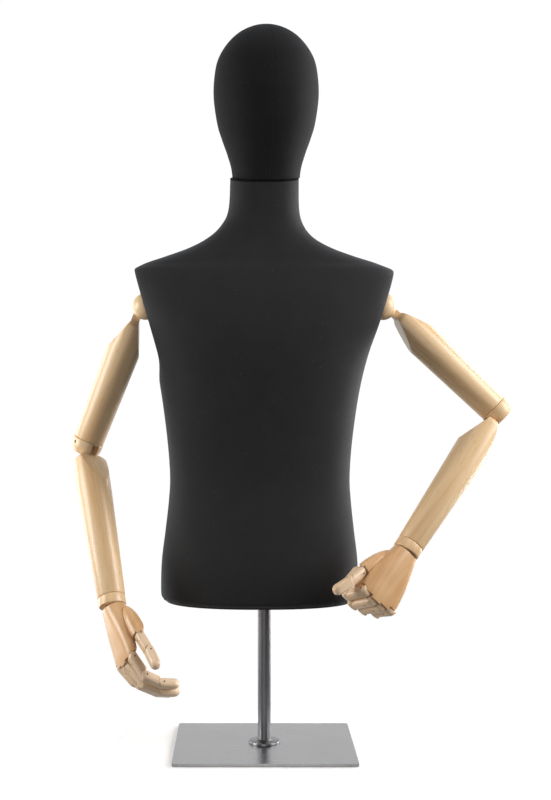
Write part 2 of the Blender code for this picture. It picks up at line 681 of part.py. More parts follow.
def build_wrist(key, frames):
    radius = FORE_RADII[1] - 0.0004
    profile = ((DOWEL_RADIUS - 0.0008, DOWEL_LENGTH), (DOWEL_RADIUS, DOWEL_LENGTH - 0.001),
               (DOWEL_RADIUS, -GAP), (radius - 0.001, -GAP), (radius, -GAP - 0.001),
               (radius, -WRIST_LENGTH + 0.001), (radius - 0.001, -WRIST_LENGTH))
    slot = block((-SLOT_HALF, -0.040, -0.040), (SLOT_HALF, 0.040, -WRIST_PIN + TONGUE_ROUND + GAP))
    bore = rod(PIN_BORE, (-0.040, 0.0, -WRIST_PIN), (0.040, 0.0, -WRIST_PIN))
    piece(f"{key}_wrist_block", lathe(profile, 24), frames["wrist"], WOOD,
          [("DIFFERENCE", slot), ("DIFFERENCE", bore)])
    reach = radius - 0.0008
    pin = rod(PIN_RADIUS, (-reach, 0.0, -WRIST_PIN), (reach, 0.0, -WRIST_PIN))
    piece(f"{key}_wrist_pin", pin, frames["wrist"], DARK_STEEL)


def build_palm(key, frames):
    thumb_side = -SIDES[key]
    back = frames["palm"].inverted()
    rings = [oval_ring(z, wide, deep, deep, 0.0, 0.0, PALM_SEGMENTS, PALM_POWER)
             for z, wide, deep in PALM_SECTIONS]
    body = skin(rings)
    thumb = back @ frames["thumb_root"]
    heel = moved(lathe(HEEL_PROFILE, 16), thumb)
    steps = [("UNION", heel)]
    for sign in (1.0, -1.0):
        reach = 0.040
        outline = [(0.0, -CROWN_TOP), (sign * reach, -CROWN_TOP - CROWN_SLOPE * reach),
                   (sign * reach, 0.010), (0.0, 0.010)]
        steps.append(("DIFFERENCE", prism(outline, -0.060, 0.060)))
    steps.append(("UNION", limb_tongue(0.016)))
    steps.append(("DIFFERENCE", rod(PIN_BORE, (-0.040, 0.0, 0.0), (0.040, 0.0, 0.0))))
    for name, (place, z, _lengths) in FINGERS.items():
        spot = shift(thumb_side * place * FINGER_PITCH, 0.0, z)
        wide = FINGER_PITCH + 2.0 * GAP
        lean = 0.0
        if name in ("index", "little"):
            wide += EDGE_SOCKET_EXTRA
            lean = math.copysign(0.5 * EDGE_SOCKET_EXTRA, thumb_side * place)
        steps.append(("DIFFERENCE", moved(socket_cutter(wide, 0.030), spot @ shift(lean, 0.0, 0.0))))
    socket = socket_cutter(FINGER_WIDTH + 4.0 * GAP, THUMB_SOCKET_REACH)
    steps.append(("DIFFERENCE", moved(socket, thumb)))
    for place, z, _lengths in FINGERS.values():
        spot = shift(thumb_side * place * FINGER_PITCH, 0.0, z)
        steps.append(("UNION", moved(socket_tongue(PALM_TONGUE_REACH), spot)))
    steps.append(("UNION", moved(socket_tongue(PALM_TONGUE_REACH), thumb)))
    piece(f"{key}_palm", body, frames["palm"], WOOD, steps)


def build_fingers(key, frames):
    for name, (_place, _z, lengths) in FINGERS.items():
        for number, length in enumerate(lengths):
            label = f"{name}_{number + 1}"
            piece(f"{key}_{label}", phalanx(length, number == 2), frames[label], WOOD)
    for number, length in enumerate(THUMB_LENGTHS):
        label = f"thumb_{number + 1}"
        piece(f"{key}_{label}", phalanx(length, number == 1), frames[label], WOOD)


def build_part():
    clear_scene()
    build_stand()
    build_collar()
    build_torso()
    build_head()
    for key in SIDES:
        frames = arm_frames(key)
        build_upper_arm(key, frames)
        build_forearm(key, frames)
        build_wrist(key, frames)
        build_palm(key, frames)
        build_fingers(key, frames)


build_part()
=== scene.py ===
import json
import math

import bmesh
import bpy
from mathutils import Matrix, Vector


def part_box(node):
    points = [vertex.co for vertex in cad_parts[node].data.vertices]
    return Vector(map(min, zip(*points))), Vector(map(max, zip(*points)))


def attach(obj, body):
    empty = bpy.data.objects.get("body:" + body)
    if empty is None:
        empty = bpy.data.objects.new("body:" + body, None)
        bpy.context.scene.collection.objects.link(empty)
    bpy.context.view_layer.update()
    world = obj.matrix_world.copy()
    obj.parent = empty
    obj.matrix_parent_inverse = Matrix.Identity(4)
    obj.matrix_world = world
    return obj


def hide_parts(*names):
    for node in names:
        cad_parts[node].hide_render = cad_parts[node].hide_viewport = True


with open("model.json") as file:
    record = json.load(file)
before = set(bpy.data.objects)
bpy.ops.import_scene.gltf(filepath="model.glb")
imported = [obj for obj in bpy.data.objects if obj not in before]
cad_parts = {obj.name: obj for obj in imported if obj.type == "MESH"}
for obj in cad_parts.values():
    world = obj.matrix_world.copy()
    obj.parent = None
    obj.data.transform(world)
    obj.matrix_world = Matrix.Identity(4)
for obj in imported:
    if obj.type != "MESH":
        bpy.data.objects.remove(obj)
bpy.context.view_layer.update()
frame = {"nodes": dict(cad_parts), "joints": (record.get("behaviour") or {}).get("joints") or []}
joints = {joint["name"]: joint for joint in frame["joints"]}
SIDES = {"l": 1.0, "r": -1.0}

# Sizes shared with the CAD, in metres and degrees.
# Torso: height, half width, front depth, back depth, forward shift, sideways shift of the section
TORSO_SECTIONS = (
    (0.2480, 0.1575, 0.102, 0.106, 0.000, -0.0085),
    (0.2520, 0.1618, 0.106, 0.110, 0.000, -0.0085),
    (0.2620, 0.1655, 0.110, 0.115, 0.000, -0.0084),
    (0.3130, 0.1648, 0.111, 0.118, 0.000, -0.0080),
    (0.3640, 0.1588, 0.106, 0.110, 0.000, -0.0078),
    (0.4140, 0.1534, 0.100, 0.098, 0.000, -0.0076),
    (0.4565, 0.1514, 0.097, 0.091, 0.000, -0.0076),
    (0.5200, 0.1562, 0.101, 0.092, 0.000, -0.0076),
    (0.6000, 0.1675, 0.111, 0.106, 0.000, -0.0070),
    (0.6650, 0.1820, 0.118, 0.113, 0.000, -0.0050),
    (0.7150, 0.1995, 0.117, 0.116, 0.000, -0.0020),
    (0.7600, 0.2180, 0.106, 0.113, 0.000, 0.0000),
    (0.7950, 0.2240, 0.091, 0.103, 0.000, -0.0015),
    (0.8110, 0.2000, 0.080, 0.094, 0.000, -0.0060),
    (0.8240, 0.1615, 0.075, 0.086, 0.000, -0.0075),
    (0.8390, 0.1205, 0.069, 0.077, 0.000, -0.0070),
    (0.8560, 0.0895, 0.064, 0.067, 0.001, -0.0060),
    (0.8760, 0.0700, 0.061, 0.059, 0.004, -0.0035),
    (0.9020, 0.0597, 0.059, 0.056, 0.009, -0.0010),
    (0.9515, 0.0574, 0.058, 0.056, 0.018, 0.0000),
    (1.0000, 0.0570, 0.058, 0.056, 0.027, 0.0000),
)
TORSO_POWER = 2.35
ARM_PLANE_X = 0.2175
ARM_PLANE_Z = 0.800
ARM_PLANE_LEAN = 16.0
PLATE_LOW = 0.61
PLATE_FADE = 0.06
PLATE_HIGH = 0.835
PLATE_ROUND = 0.0016

# Head: height, half width, half depth, forward shift
HEAD_SECTIONS = (
    (0.9200, 0.0540, 0.0560, 0.012),
    (0.9650, 0.0575, 0.0600, 0.019),
    (0.9920, 0.0645, 0.0695, 0.021),
    (1.0190, 0.0740, 0.0820, 0.021),
    (1.0460, 0.0820, 0.0935, 0.020),
    (1.0900, 0.0880, 0.1040, 0.017),
    (1.1270, 0.0865, 0.1030, 0.014),
    (1.1540, 0.0805, 0.0960, 0.012),
    (1.1780, 0.0665, 0.0805, 0.010),
    (1.1960, 0.0485, 0.0590, 0.009),
    (1.2080, 0.0265, 0.0325, 0.008),
    (1.2126, 0.0060, 0.0080, 0.008),
)
HEAD_POWER = 2.05
HEAD_X = 0.0028
HEAD_TURN = 6.5
SEAM_FORWARD = 0.014
NECK_BELOW = 0.0014
NECK_ABOVE = 0.0022
LID_RADIUS = 0.0555
SHELL_BOTTOM = 0.2505
HEM_STEPS = 5
HEM_STEP = 0.0010
HEM_IN = 0.0013
HEM_RETURN = 0.010
SPLINE_DETAIL = 9

# Stand
PLATE_EDGE = 0.0007
FLANGE_BORE = 0.0113
TUBE_WALL = 0.0014

# Arms
KNUCKLE_RADIUS = 0.023
SHOULDER_OUT = 0.0095
SPIGOT_RADIUS = 0.008
UPPER_RADII = (0.0283, 0.0258)
FORE_RADII = (0.0286, 0.0225)
ELBOW_SEAM = 0.008
ELBOW_RADIUS = 0.0262
ELBOW_DEPTH = 0.0165
TONGUE_HALF = 0.0060
SLOT_HALF = 0.0063
TONGUE_ROUND = 0.0062
FACET_ANGLE = 21.0
FACET_LENGTH = 0.080
PIN_RADIUS = 0.0023
WRIST_LENGTH = 0.016
WRIST_PIN = 0.0130
GAP = 0.0003

# Hands. Palm: height, half width, half depth
PALM_SECTIONS = (
    (-0.0010, 0.0190, 0.0172),
    (-0.0050, 0.0205, 0.0178),
    (-0.0200, 0.0250, 0.0175),
    (-0.0500, 0.0340, 0.0158),
    (-0.0780, 0.0385, 0.0135),
    (-0.1170, 0.0405, 0.0118),
)
PALM_POWER = 2.6
PALM_HOLLOW = 0.0022
THUMB_ROOT_LIFT = 4.0
FINGER_WIDTH = 0.0176
FINGER_PITCH = 0.0200
FINGER_ROUND = 0.0085
FINGER_PALMAR = 0.0068
FINGER_SCOOP = 0.0088
FINGER_POWER = 3.2
SCOOP_START = 60.0
FINGERS = {
    "index": (0.0340, 0.0285, 0.0265),
    "middle": (0.0370, 0.0300, 0.0275),
    "ring": (0.0345, 0.0290, 0.0270),
    "little": (0.0290, 0.0240, 0.0240),
}
THUMB_LENGTHS = (0.0350, 0.0320)
# Swelling under the thumb: radius, height
HEEL_PROFILE = (
    (0.0030, 0.0620),
    (0.0072, 0.0560),
    (0.0108, 0.0450),
    (0.0126, 0.0330),
    (0.0131, 0.0180),
    (0.0126, 0.0060),
    (0.0118, 0.0000),
)
CROWN_TOP = 0.0037
CROWN_SLOPE = 0.175
PIN_HEAD = ((0.0013, -0.0012), (0.0013, 0.00005), (0.0011, 0.0002), (0.0004, 0.00022))

# Studio: name, place, aim, size, power in watts, colour
LAMPS = (
    ("left", (-2.3, -0.5, 0.9), (0.0, 0.0, 0.50), (1.0, 1.5), 52.0, (1.0, 0.99, 0.97)),
    ("right", (2.2, -0.7, 1.5), (0.0, 0.0, 0.65), (1.1, 2.0), 74.0, (1.0, 0.99, 0.975)),
    ("right_edge", (1.7, 1.1, 0.75), (0.10, 0.0, 0.55), (0.7, 1.9), 48.0, (1.0, 1.0, 1.0)),
    ("left_edge", (-1.7, 1.1, 0.45), (-0.12, 0.0, 0.40), (0.7, 1.5), 18.0, (1.0, 1.0, 1.0)),
    ("front", (-0.3, -3.0, 0.45), (0.0, 0.0, 0.35), (1.6, 1.2), 12.0, (1.0, 1.0, 1.0)),
    ("top", (0.0, 0.2, 3.0), (0.0, 0.0, 0.0), (1.4, 1.4), 13.0, (1.0, 1.0, 1.0)),
)
WORLD_STRENGTH = 0.11
FLOOR_FADE = (0.155, 0.30)
WALL_PLACE = (0.0, 6.5, 0.2)
WALL_HALF = 6.1
DOME_RADIUS = 14.0
CAMERA_PLACE = (-0.034, -2.2, 0.6204)
CAMERA_LENS = 58.6
CAMERA_SHIFT = (0.0392, -0.0275)


# ---------------------------------------------------------------- mesh helpers
def link(name, bm, matrix=None):
    bmesh.ops.recalc_face_normals(bm, faces=bm.faces)
    mesh = bpy.data.meshes.new(name)
    bm.to_mesh(mesh)
    bm.free()
    made = bpy.data.objects.new(name, mesh)
    bpy.context.scene.collection.objects.link(made)
    if matrix is not None:
        made.matrix_world = matrix
    return made


def baked(obj):
    """Swaps an object's mesh for its evaluated one and clears its modifiers."""
    graph = bpy.context.evaluated_depsgraph_get()
    mesh = bpy.data.meshes.new_from_object(obj.evaluated_get(graph), depsgraph=graph)
    obj.modifiers.clear()
    obj.data = mesh
    return obj


def finish_edges(obj, width, segments=3, angle=32.0):
    """Rounds an object's hard edges and smooths the rest."""
    bevel = obj.modifiers.new("edges", "BEVEL")
    bevel.width = width
    bevel.segments = segments
    bevel.limit_method = "ANGLE"
    bevel.angle_limit = math.radians(angle)
    bevel.use_clamp_overlap = True
    bevel.miter_outer = "MITER_ARC"
    baked(obj)
    obj.data.shade_smooth()
    obj.data.set_sharp_from_angle(angle=math.radians(38.0))
    return obj


def carved(name, bm, matrix, steps, width=0.0007):
    """A solid with Boolean steps applied and its edges rounded."""
    obj = link(name, bm, matrix)
    cutters = []
    for number, (operation, shape) in enumerate(steps):
        cutter = link(f"cutter_{number}", shape, matrix)
        cutters.append(cutter)
        step = obj.modifiers.new(f"step_{number}", "BOOLEAN")
        step.operation = operation
        step.solver = "EXACT"
        step.object = cutter
    bpy.context.view_layer.update()
    baked(obj)
    for cutter in cutters:
        bpy.data.objects.remove(cutter, do_unlink=True)
    bm = bmesh.new()
    bm.from_mesh(obj.data)
    bmesh.ops.remove_doubles(bm, verts=bm.verts, dist=2e-5)
    bmesh.ops.dissolve_limit(bm, angle_limit=math.radians(0.6), verts=bm.verts, edges=bm.edges)
    bm.to_mesh(obj.data)
    bm.free()
    return finish_edges(obj, width)


def skin(rings, cap_low=True, cap_high=True):
    bm = bmesh.new()
    loops = [[bm.verts.new(point) for point in ring] for ring in rings]
    count = len(loops[0])
    for low, high in zip(loops, loops[1:]):
        for k in range(count):
            bm.faces.new((low[k], low[(k + 1) % count], high[(k + 1) % count], high[k]))
    if cap_low:
        bm.faces.new(loops[0])
    if cap_high:
        bm.faces.new(loops[-1])
    return bm


def circle(radius, height, segments):
    angles = [2 * math.pi * k / segments for k in range(segments)]
    return [(radius * math.cos(angle), radius * math.sin(angle), height) for angle in angles]


def lathe(profile, segments=56):
    return skin([circle(radius, height, segments) for radius, height in profile])


def sleeve(profile, segments=64):
    """Turns a closed (radius, height) outline about Z."""
    bm = skin([circle(r, h, segments) for r, h in list(profile) + [profile[0]]], False, False)
    bmesh.ops.remove_doubles(bm, verts=bm.verts, dist=1e-7)
    return bm


def block(low, high):
    bm = bmesh.new()
    bmesh.ops.create_cube(bm, size=1.0)
    for vert in bm.verts:
        vert.co = Vector([low[i] + (vert.co[i] + 0.5) * (high[i] - low[i]) for i in range(3)])
    return bm


def ball(radius, segments=56, rings=28):
    profile = []
    for k in range(rings + 1):
        angle = math.radians(-88.5 + 177.0 * k / rings)
        profile.append((radius * math.cos(angle), radius * math.sin(angle)))
    return lathe(profile, segments)


def prism(outline, low, high):
    return skin([[(x, y, z) for y, z in outline] for x in (low, high)])


def arc(radius, first, last, count, centre=(0.0, 0.0)):
    points = []
    for k in range(count):
        angle = math.radians(first + (last - first) * k / (count - 1))
        points.append((centre[0] + radius * math.cos(angle), centre[1] + radius * math.sin(angle)))
    return points


def moved(bm, matrix):
    bmesh.ops.transform(bm, matrix=matrix, verts=bm.verts)
    return bm


def cross_rod(radius, reach, height=0.0, segments=28):
    """A bar along X."""
    bm = lathe(((radius, -reach), (radius, reach)), segments)
    return moved(bm, Matrix.Translation((0.0, 0.0, height)) @ Matrix.Rotation(math.radians(90.0), 4, "Y"))


def spline(points, detail):
    """Catmull-Rom through rows of numbers."""
    rows = []
    count = len(points)
    for i in range(count - 1):
        before = points[max(i - 1, 0)]
        first = points[i]
        second = points[i + 1]
        after = points[min(i + 2, count - 1)]
        for step in range(detail):
            t = step / detail
            row = []
            for a, b, c, d in zip(before, first, second, after):
                row.append(0.5 * (2 * b + (c - a) * t + (2 * a - 5 * b + 4 * c - d) * t * t
                                  + (3 * b - a - 3 * c + d) * t ** 3))
            rows.append(tuple(row))
    rows.append(tuple(points[-1]))
    return rows


# ---------------------------------------------------------------- materials
def nodes_of(name):
    made = bpy.data.materials.new(name)
    made.use_nodes = True
    tree = made.node_tree
    shader = tree.nodes["Principled BSDF"]
    return made, tree, shader


def add(tree, kind, **values):
    node = tree.nodes.new(kind)
    for key, value in values.items():
        setattr(node, key, value)
    return node


def ramp(tree, source, stops):
    node = tree.nodes.new("ShaderNodeValToRGB")
    while len(node.color_ramp.elements) < len(stops):
        node.color_ramp.elements.new(0.5)
    for element, (place, colour) in zip(node.color_ramp.elements, stops):
        element.position = place
        element.color = (*colour, 1.0)
    tree.links.new(source, node.inputs["Fac"])
    return node.outputs["Color"]


def maths(tree, operation, first, second=None, third=None):
    node = tree.nodes.new("ShaderNodeMath")
    node.operation = operation
    for slot, value in zip(node.inputs, (first, second, third)):
        if value is None:
            continue
        if isinstance(value, (int, float)):
            slot.default_value = value
        else:
            tree.links.new(value, slot)
    return node.outputs[0]


def mixed(tree, factor, first, second, blend="MIX"):
    node = tree.nodes.new("ShaderNodeMix")
    node.data_type = "RGBA"
    node.blend_type = blend
    for name, value in (("Factor", factor), ("A", first), ("B", second)):
        kind = "VALUE" if name == "Factor" else "RGBA"
        slot = [s for s in node.inputs if s.name == name and s.type == kind][0]
        if isinstance(value, (int, float)):
            slot.default_value = value
        elif isinstance(value, tuple):
            slot.default_value = (*value, 1.0)
        else:
            tree.links.new(value, slot)
    return [s for s in node.outputs if s.type == "RGBA"][0]


def noise(tree, vector, scale, detail=3.0, rough=0.55):
    node = add(tree, "ShaderNodeTexNoise")
    node.inputs["Scale"].default_value = scale
    node.inputs["Detail"].default_value = detail
    node.inputs["Roughness"].default_value = rough
    tree.links.new(vector, node.inputs["Vector"])
    return node.outputs["Fac"]


def mapped(tree, vector, scale=(1, 1, 1), move=(0, 0, 0)):
    node = add(tree, "ShaderNodeMapping")
    node.inputs["Scale"].default_value = scale
    node.inputs["Location"].default_value = move
    tree.links.new(vector, node.inputs["Vector"])
    return node.outputs["Vector"]


def bumped(tree, shader, heights):
    """Chains (height, strength, distance) bumps into the shader's normal."""
    last = None
    for height, strength, distance in heights:
        node = add(tree, "ShaderNodeBump")
        node.inputs["Strength"].default_value = strength
        node.inputs["Distance"].default_value = distance
        tree.links.new(height, node.inputs["Height"])
        if last is not None:
            tree.links.new(last, node.inputs["Normal"])
        last = node.outputs["Normal"]
    tree.links.new(last, shader.inputs["Normal"])


def wood(name, tones, seed):
    """Satin varnished beech with the grain along local Z."""
    made, tree, shader = nodes_of(name)
    place = add(tree, "ShaderNodeTexCoord").outputs["Object"]
    shifted = mapped(tree, place, (1, 1, 1), (seed * 0.37, seed * 0.61, seed * 0.23))
    warp = noise(tree, mapped(tree, shifted, (9, 9, 3)), 1.0, 2.0)
    wander = add(tree, "ShaderNodeVectorMath", operation="SCALE")
    combine = add(tree, "ShaderNodeCombineXYZ")
    tree.links.new(warp, combine.inputs["X"])
    tree.links.new(warp, combine.inputs["Y"])
    tree.links.new(combine.outputs["Vector"], wander.inputs[0])
    wander.inputs["Scale"].default_value = 0.05
    bent = add(tree, "ShaderNodeVectorMath", operation="ADD")
    tree.links.new(shifted, bent.inputs[0])
    tree.links.new(wander.outputs["Vector"], bent.inputs[1])
    vector = bent.outputs["Vector"]
    broad = noise(tree, mapped(tree, vector, (34, 34, 2.2)), 1.0, 3.0, 0.5)
    streak = noise(tree, mapped(tree, vector, (190, 190, 6.0)), 1.0, 4.0, 0.6)
    fleck = noise(tree, mapped(tree, vector, (900, 520, 70)), 1.0, 2.0, 0.5)
    light, middle, dark = tones
    base = ramp(tree, broad, ((0.30, light), (0.52, middle), (0.74, dark)))
    lines = ramp(tree, streak, ((0.32, (0.84, 0.78, 0.72)), (0.55, (1.0, 1.0, 1.0))))
    colour = mixed(tree, 0.55, base, lines, "MULTIPLY")
    dots = ramp(tree, fleck, ((0.28, (0.70, 0.60, 0.52)), (0.36, (1.0, 1.0, 1.0))))
    colour = mixed(tree, 0.50, colour, dots, "MULTIPLY")
    tree.links.new(colour, shader.inputs["Base Color"])
    tree.links.new(maths(tree, "MULTIPLY_ADD", streak, 0.18, 0.30), shader.inputs["Roughness"])
    shader.inputs["Coat Weight"].default_value = 0.22
    shader.inputs["Coat Roughness"].default_value = 0.28
    shader.inputs["Specular IOR Level"].default_value = 0.45
    bumped(tree, shader, ((streak, 0.10, 0.0004), (fleck, 0.10, 0.0002)))
    return made


def cloth(name, seams, shade=1.0):
    """Charcoal jersey with fine knit, slubs, lint and sewn seams; shade darkens its colour as painted shade
    and dims its specular and sheen.
    """
    made, tree, shader = nodes_of(name)
    place = add(tree, "ShaderNodeTexCoord").outputs["Object"]
    uv = add(tree, "ShaderNodeUVMap", uv_map="cloth").outputs["UV"]
    split = add(tree, "ShaderNodeSeparateXYZ")
    tree.links.new(uv, split.inputs["Vector"])
    across = maths(tree, "SINE", maths(tree, "MULTIPLY", split.outputs["X"], 2 * math.pi / 0.0011))
    along = maths(tree, "SINE", maths(tree, "MULTIPLY", split.outputs["Y"], 2 * math.pi / 0.0009))
    knit = maths(tree, "MULTIPLY_ADD", maths(tree, "MULTIPLY", across, along), 0.5, 0.5)
    slub = noise(tree, mapped(tree, place, (900, 900, 2600)), 1.0, 2.0, 0.6)
    mottle = noise(tree, mapped(tree, place, (22, 22, 22)), 1.0, 4.0, 0.6)
    lint = noise(tree, mapped(tree, place, (420, 420, 420)), 1.0, 1.0, 0.5)
    # shade scales all the tones down: painted shade for the darker copies.
    low, high, slubs = (tuple(shade * c for c in tone) for tone in (
        (0.0095, 0.0096, 0.0099), (0.0150, 0.0152, 0.0158), (0.0280, 0.0280, 0.0295)))
    tone = ramp(tree, mottle, ((0.30, low), (0.75, high)))
    tone = mixed(tree, maths(tree, "MULTIPLY", slub, 0.60), tone, slubs)
    tone = mixed(tree, maths(tree, "MULTIPLY", knit, 0.35), tone, (0.010, 0.010, 0.011))
    tone = mixed(tree, maths(tree, "MULTIPLY", maths(tree, "GREATER_THAN", lint, 0.760), 0.18), tone,
                 (0.20, 0.20, 0.21))
    groove = None
    for seam in seams:
        line = seam(tree, place)
        groove = line if groove is None else maths(tree, "MAXIMUM", groove, line)
    # The seams are real and bumped in as grooves; their colour darkened almost to black is painted shade in
    # the grooves.
    if groove is not None:
        tone = mixed(tree, maths(tree, "MULTIPLY", groove, 0.75), tone, (0.004, 0.004, 0.004))
    tree.links.new(tone, shader.inputs["Base Color"])
    shader.inputs["Roughness"].default_value = 0.82
    shader.inputs["Specular IOR Level"].default_value = 0.25 * shade
    shader.inputs["Sheen Weight"].default_value = 0.10 * shade
    shader.inputs["Sheen Roughness"].default_value = 0.38
    shader.inputs["Sheen Tint"].default_value = (0.78, 0.84, 1.0, 1.0)
    heights = [(knit, 0.35, 0.0004), (slub, 0.25, 0.0003)]
    if groove is not None:
        heights.append((maths(tree, "SUBTRACT", 1.0, groove), 0.9, 0.0012))
    bumped(tree, shader, heights)
    return made


def line_at(axis, level, half, low=None):
    """A seam where an axis crosses a level; low keeps it to one side of another axis."""
    def make(tree, place):
        split = add(tree, "ShaderNodeSeparateXYZ")
        tree.links.new(place, split.inputs["Vector"])
        away = maths(tree, "ABSOLUTE", maths(tree, "SUBTRACT", split.outputs[axis], level))
        line = maths(tree, "SUBTRACT", 1.0, maths(tree, "DIVIDE", away, half))
        line = maths(tree, "MAXIMUM", line, 0.0)
        if low is not None:
            other, start, magnitude = low
            side = split.outputs[other]
            if magnitude:
                side = maths(tree, "ABSOLUTE", side)
            line = maths(tree, "MULTIPLY", line, maths(tree, "GREATER_THAN", side, start))
        return line
    return make


def edge_seam(tree, _place):
    """The seam round the arm plates, from the plate weight kept on the mesh."""
    weight = add(tree, "ShaderNodeAttribute", attribute_name="plate").outputs["Fac"]
    away = maths(tree, "ABSOLUTE", maths(tree, "SUBTRACT", weight, 0.5))
    return maths(tree, "MAXIMUM", maths(tree, "SUBTRACT", 1.0, maths(tree, "DIVIDE", away, 0.16)), 0.0)


def metal(name, colour, rough, scratch, axis=(1, 1, 1)):
    made, tree, shader = nodes_of(name)
    place = add(tree, "ShaderNodeTexCoord").outputs["Object"]
    brush = noise(tree, mapped(tree, place, axis), 1.0, 4.0, 0.65)
    smear = noise(tree, mapped(tree, place, (14, 14, 14)), 1.0, 3.0, 0.5)
    dark = tuple(0.86 * c for c in colour)
    tone = mixed(tree, brush, dark, colour)
    tree.links.new(mixed(tree, maths(tree, "MULTIPLY", smear, 0.30), tone, tuple(0.8 * c for c in colour)),
                   shader.inputs["Base Color"])
    shader.inputs["Metallic"].default_value = 1.0
    level = maths(tree, "MULTIPLY_ADD", brush, 0.12, rough - 0.06)
    tree.links.new(maths(tree, "MULTIPLY_ADD", smear, 0.08, level), shader.inputs["Roughness"])
    bumped(tree, shader, ((brush, scratch, 0.0002),))
    return made


def moulded(name, colour):
    made, tree, shader = nodes_of(name)
    place = add(tree, "ShaderNodeTexCoord").outputs["Object"]
    grain = noise(tree, mapped(tree, place, (260, 260, 260)), 1.0, 3.0)
    cloud = noise(tree, mapped(tree, place, (12, 12, 12)), 1.0, 3.0)
    tree.links.new(mixed(tree, cloud, colour, tuple(0.8 * c for c in colour)), shader.inputs["Base Color"])
    tree.links.new(maths(tree, "MULTIPLY_ADD", grain, 0.2, 0.5), shader.inputs["Roughness"])
    bumped(tree, shader, ((grain, 0.25, 0.0005),))
    return made


BEECH = ((0.820, 0.600, 0.365), (0.760, 0.525, 0.295), (0.660, 0.420, 0.210))
WARM = ((0.740, 0.480, 0.260), (0.660, 0.395, 0.195), (0.560, 0.305, 0.135))
PALE = ((0.810, 0.620, 0.440), (0.745, 0.545, 0.365), (0.660, 0.450, 0.280))
limb_wood = [wood(f"beech_{n}", BEECH, 1.0 + 3.1 * n) for n in range(3)]
palm_wood = [wood(f"beech_palm_{n}", WARM, 11.0 + 2.7 * n) for n in range(2)]
finger_wood = [wood(f"beech_finger_{n}", PALE, 21.0 + 1.9 * n) for n in range(4)]
board_wood = wood("beech_board", BEECH, 31.0)
torso_cloth = cloth("charcoal_jersey_torso", (
    line_at("Z", 0.2555, 0.0008),
    line_at("Y", 0.004, 0.0007, ("X", 0.052, True)),
    line_at("X", 0.0, 0.0007, ("Y", 0.02, False)),
    edge_seam,
))
# The head's jersey is the torso's jersey darkened to 0.52, painted shade on the head.
head_cloth_shaded = cloth("charcoal_jersey_head_shaded", (line_at("X", 0.0, 0.0008),), 0.52)
# The hems and the neck lid get the jersey darkened to 0.30 with little specular or sheen: painted shade in
# the neck gap.
neck_shadow_cloth = cloth("charcoal_jersey_neck_shadow", (), 0.30)
plate_metal = metal("satin_steel_plate", (0.335, 0.335, 0.345), 0.24, 0.12, (30, 1500, 30))
flange_metal = metal("satin_steel_flange", (0.20, 0.20, 0.21), 0.30, 0.10, (60, 60, 900))
pole_metal = metal("dark_steel_tube", (0.195, 0.195, 0.205), 0.36, 0.10, (900, 900, 8))
pin_metal = metal("dark_steel_pins", (0.055, 0.045, 0.038), 0.45, 0.20, (700, 700, 700))
# The shell and head core are near black, painted shade where they show through the neck gap.
shaded_shell_plastic = moulded("moulded_shell", (0.030, 0.030, 0.032))


def paint(obj, material):
    obj.data.materials.clear()
    obj.data.materials.append(material)


def clad(obj, material, body, record_slot, *nodes):
    """Gives a new piece its material and its body and hides the CAD nodes it stands for; record_slot is not
    used.
    """
    paint(obj, material)
    if nodes:
        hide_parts(*nodes)
    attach(obj, body)
    return obj


# ---------------------------------------------------------------- frames from the joints
def frame_of(x_axis, z_axis, point):
    x = Vector(x_axis).normalized()
    z = Vector(z_axis)
    z = (z - x * z.dot(x)).normalized()
    y = z.cross(x)
    made = Matrix.Identity(4)
    for row in range(3):
        made[row][0] = x[row]
        made[row][1] = y[row]
        made[row][2] = z[row]
        made[row][3] = point[row]
    return made


def place_of(name):
    return Vector(joints[name]["pos_m"])


def axis_of(name):
    return Vector(joints[name]["axis"])


def hinge_x(name, hint):
    """A joint's axis, turned to agree with a hint."""
    axis = axis_of(name)
    return axis if axis.dot(hint) >= 0.0 else -axis


def far_end(node, point):
    """Where a node's vertices lie farthest from a point, on average."""
    places = sorted((Vector(v.co) for v in frame["nodes"][node].data.vertices),
                    key=lambda p: (p - point).length, reverse=True)
    return sum(places[:12], Vector()) / 12.0


def arm_frames(key):
    side = SIDES[key]
    made = {}
    shoulder = place_of(f"{key}_shoulder_raise")
    turn_point = place_of(f"{key}_elbow_turn")
    elbow = place_of(f"{key}_elbow_bend")
    hand_turn = place_of(f"{key}_wrist_turn")
    wrist = place_of(f"{key}_wrist_bend")
    raise_axis = side * axis_of(f"{key}_shoulder_raise")
    lean = math.radians(ARM_PLANE_LEAN)
    normal = Vector((side * math.cos(lean), 0.0, -math.sin(lean)))
    made["shoulder"] = frame_of(raise_axis, raise_axis.cross(side * normal), shoulder)
    made["upper"] = frame_of(raise_axis, shoulder - elbow, shoulder)
    palm_x = axis_of(f"{key}_wrist_bend")
    bend = side * -1.0 * axis_of(f"{key}_elbow_bend")
    made["elbow"] = frame_of(bend, shoulder - turn_point, elbow)
    made["fore"] = frame_of(bend, elbow - hand_turn, elbow)
    made["wrist"] = frame_of(palm_x, elbow - hand_turn, hand_turn)
    index = place_of(f"{key}_index_1_hinge")
    made["palm"] = frame_of(palm_x, wrist - index, wrist)
    for name, lengths in [("thumb", THUMB_LENGTHS)] + list(FINGERS.items()):
        for number in range(len(lengths)):
            label = f"{name}_{number + 1}"
            here = place_of(f"{key}_{label}_hinge")
            x = hinge_x(f"{key}_{label}_hinge", palm_x)
            if number + 1 < len(lengths):
                there = place_of(f"{key}_{name}_{number + 2}_hinge")
            else:
                there = far_end(f"{key}_{label}", here)
            made[label] = frame_of(x, here - there, here)
    return made


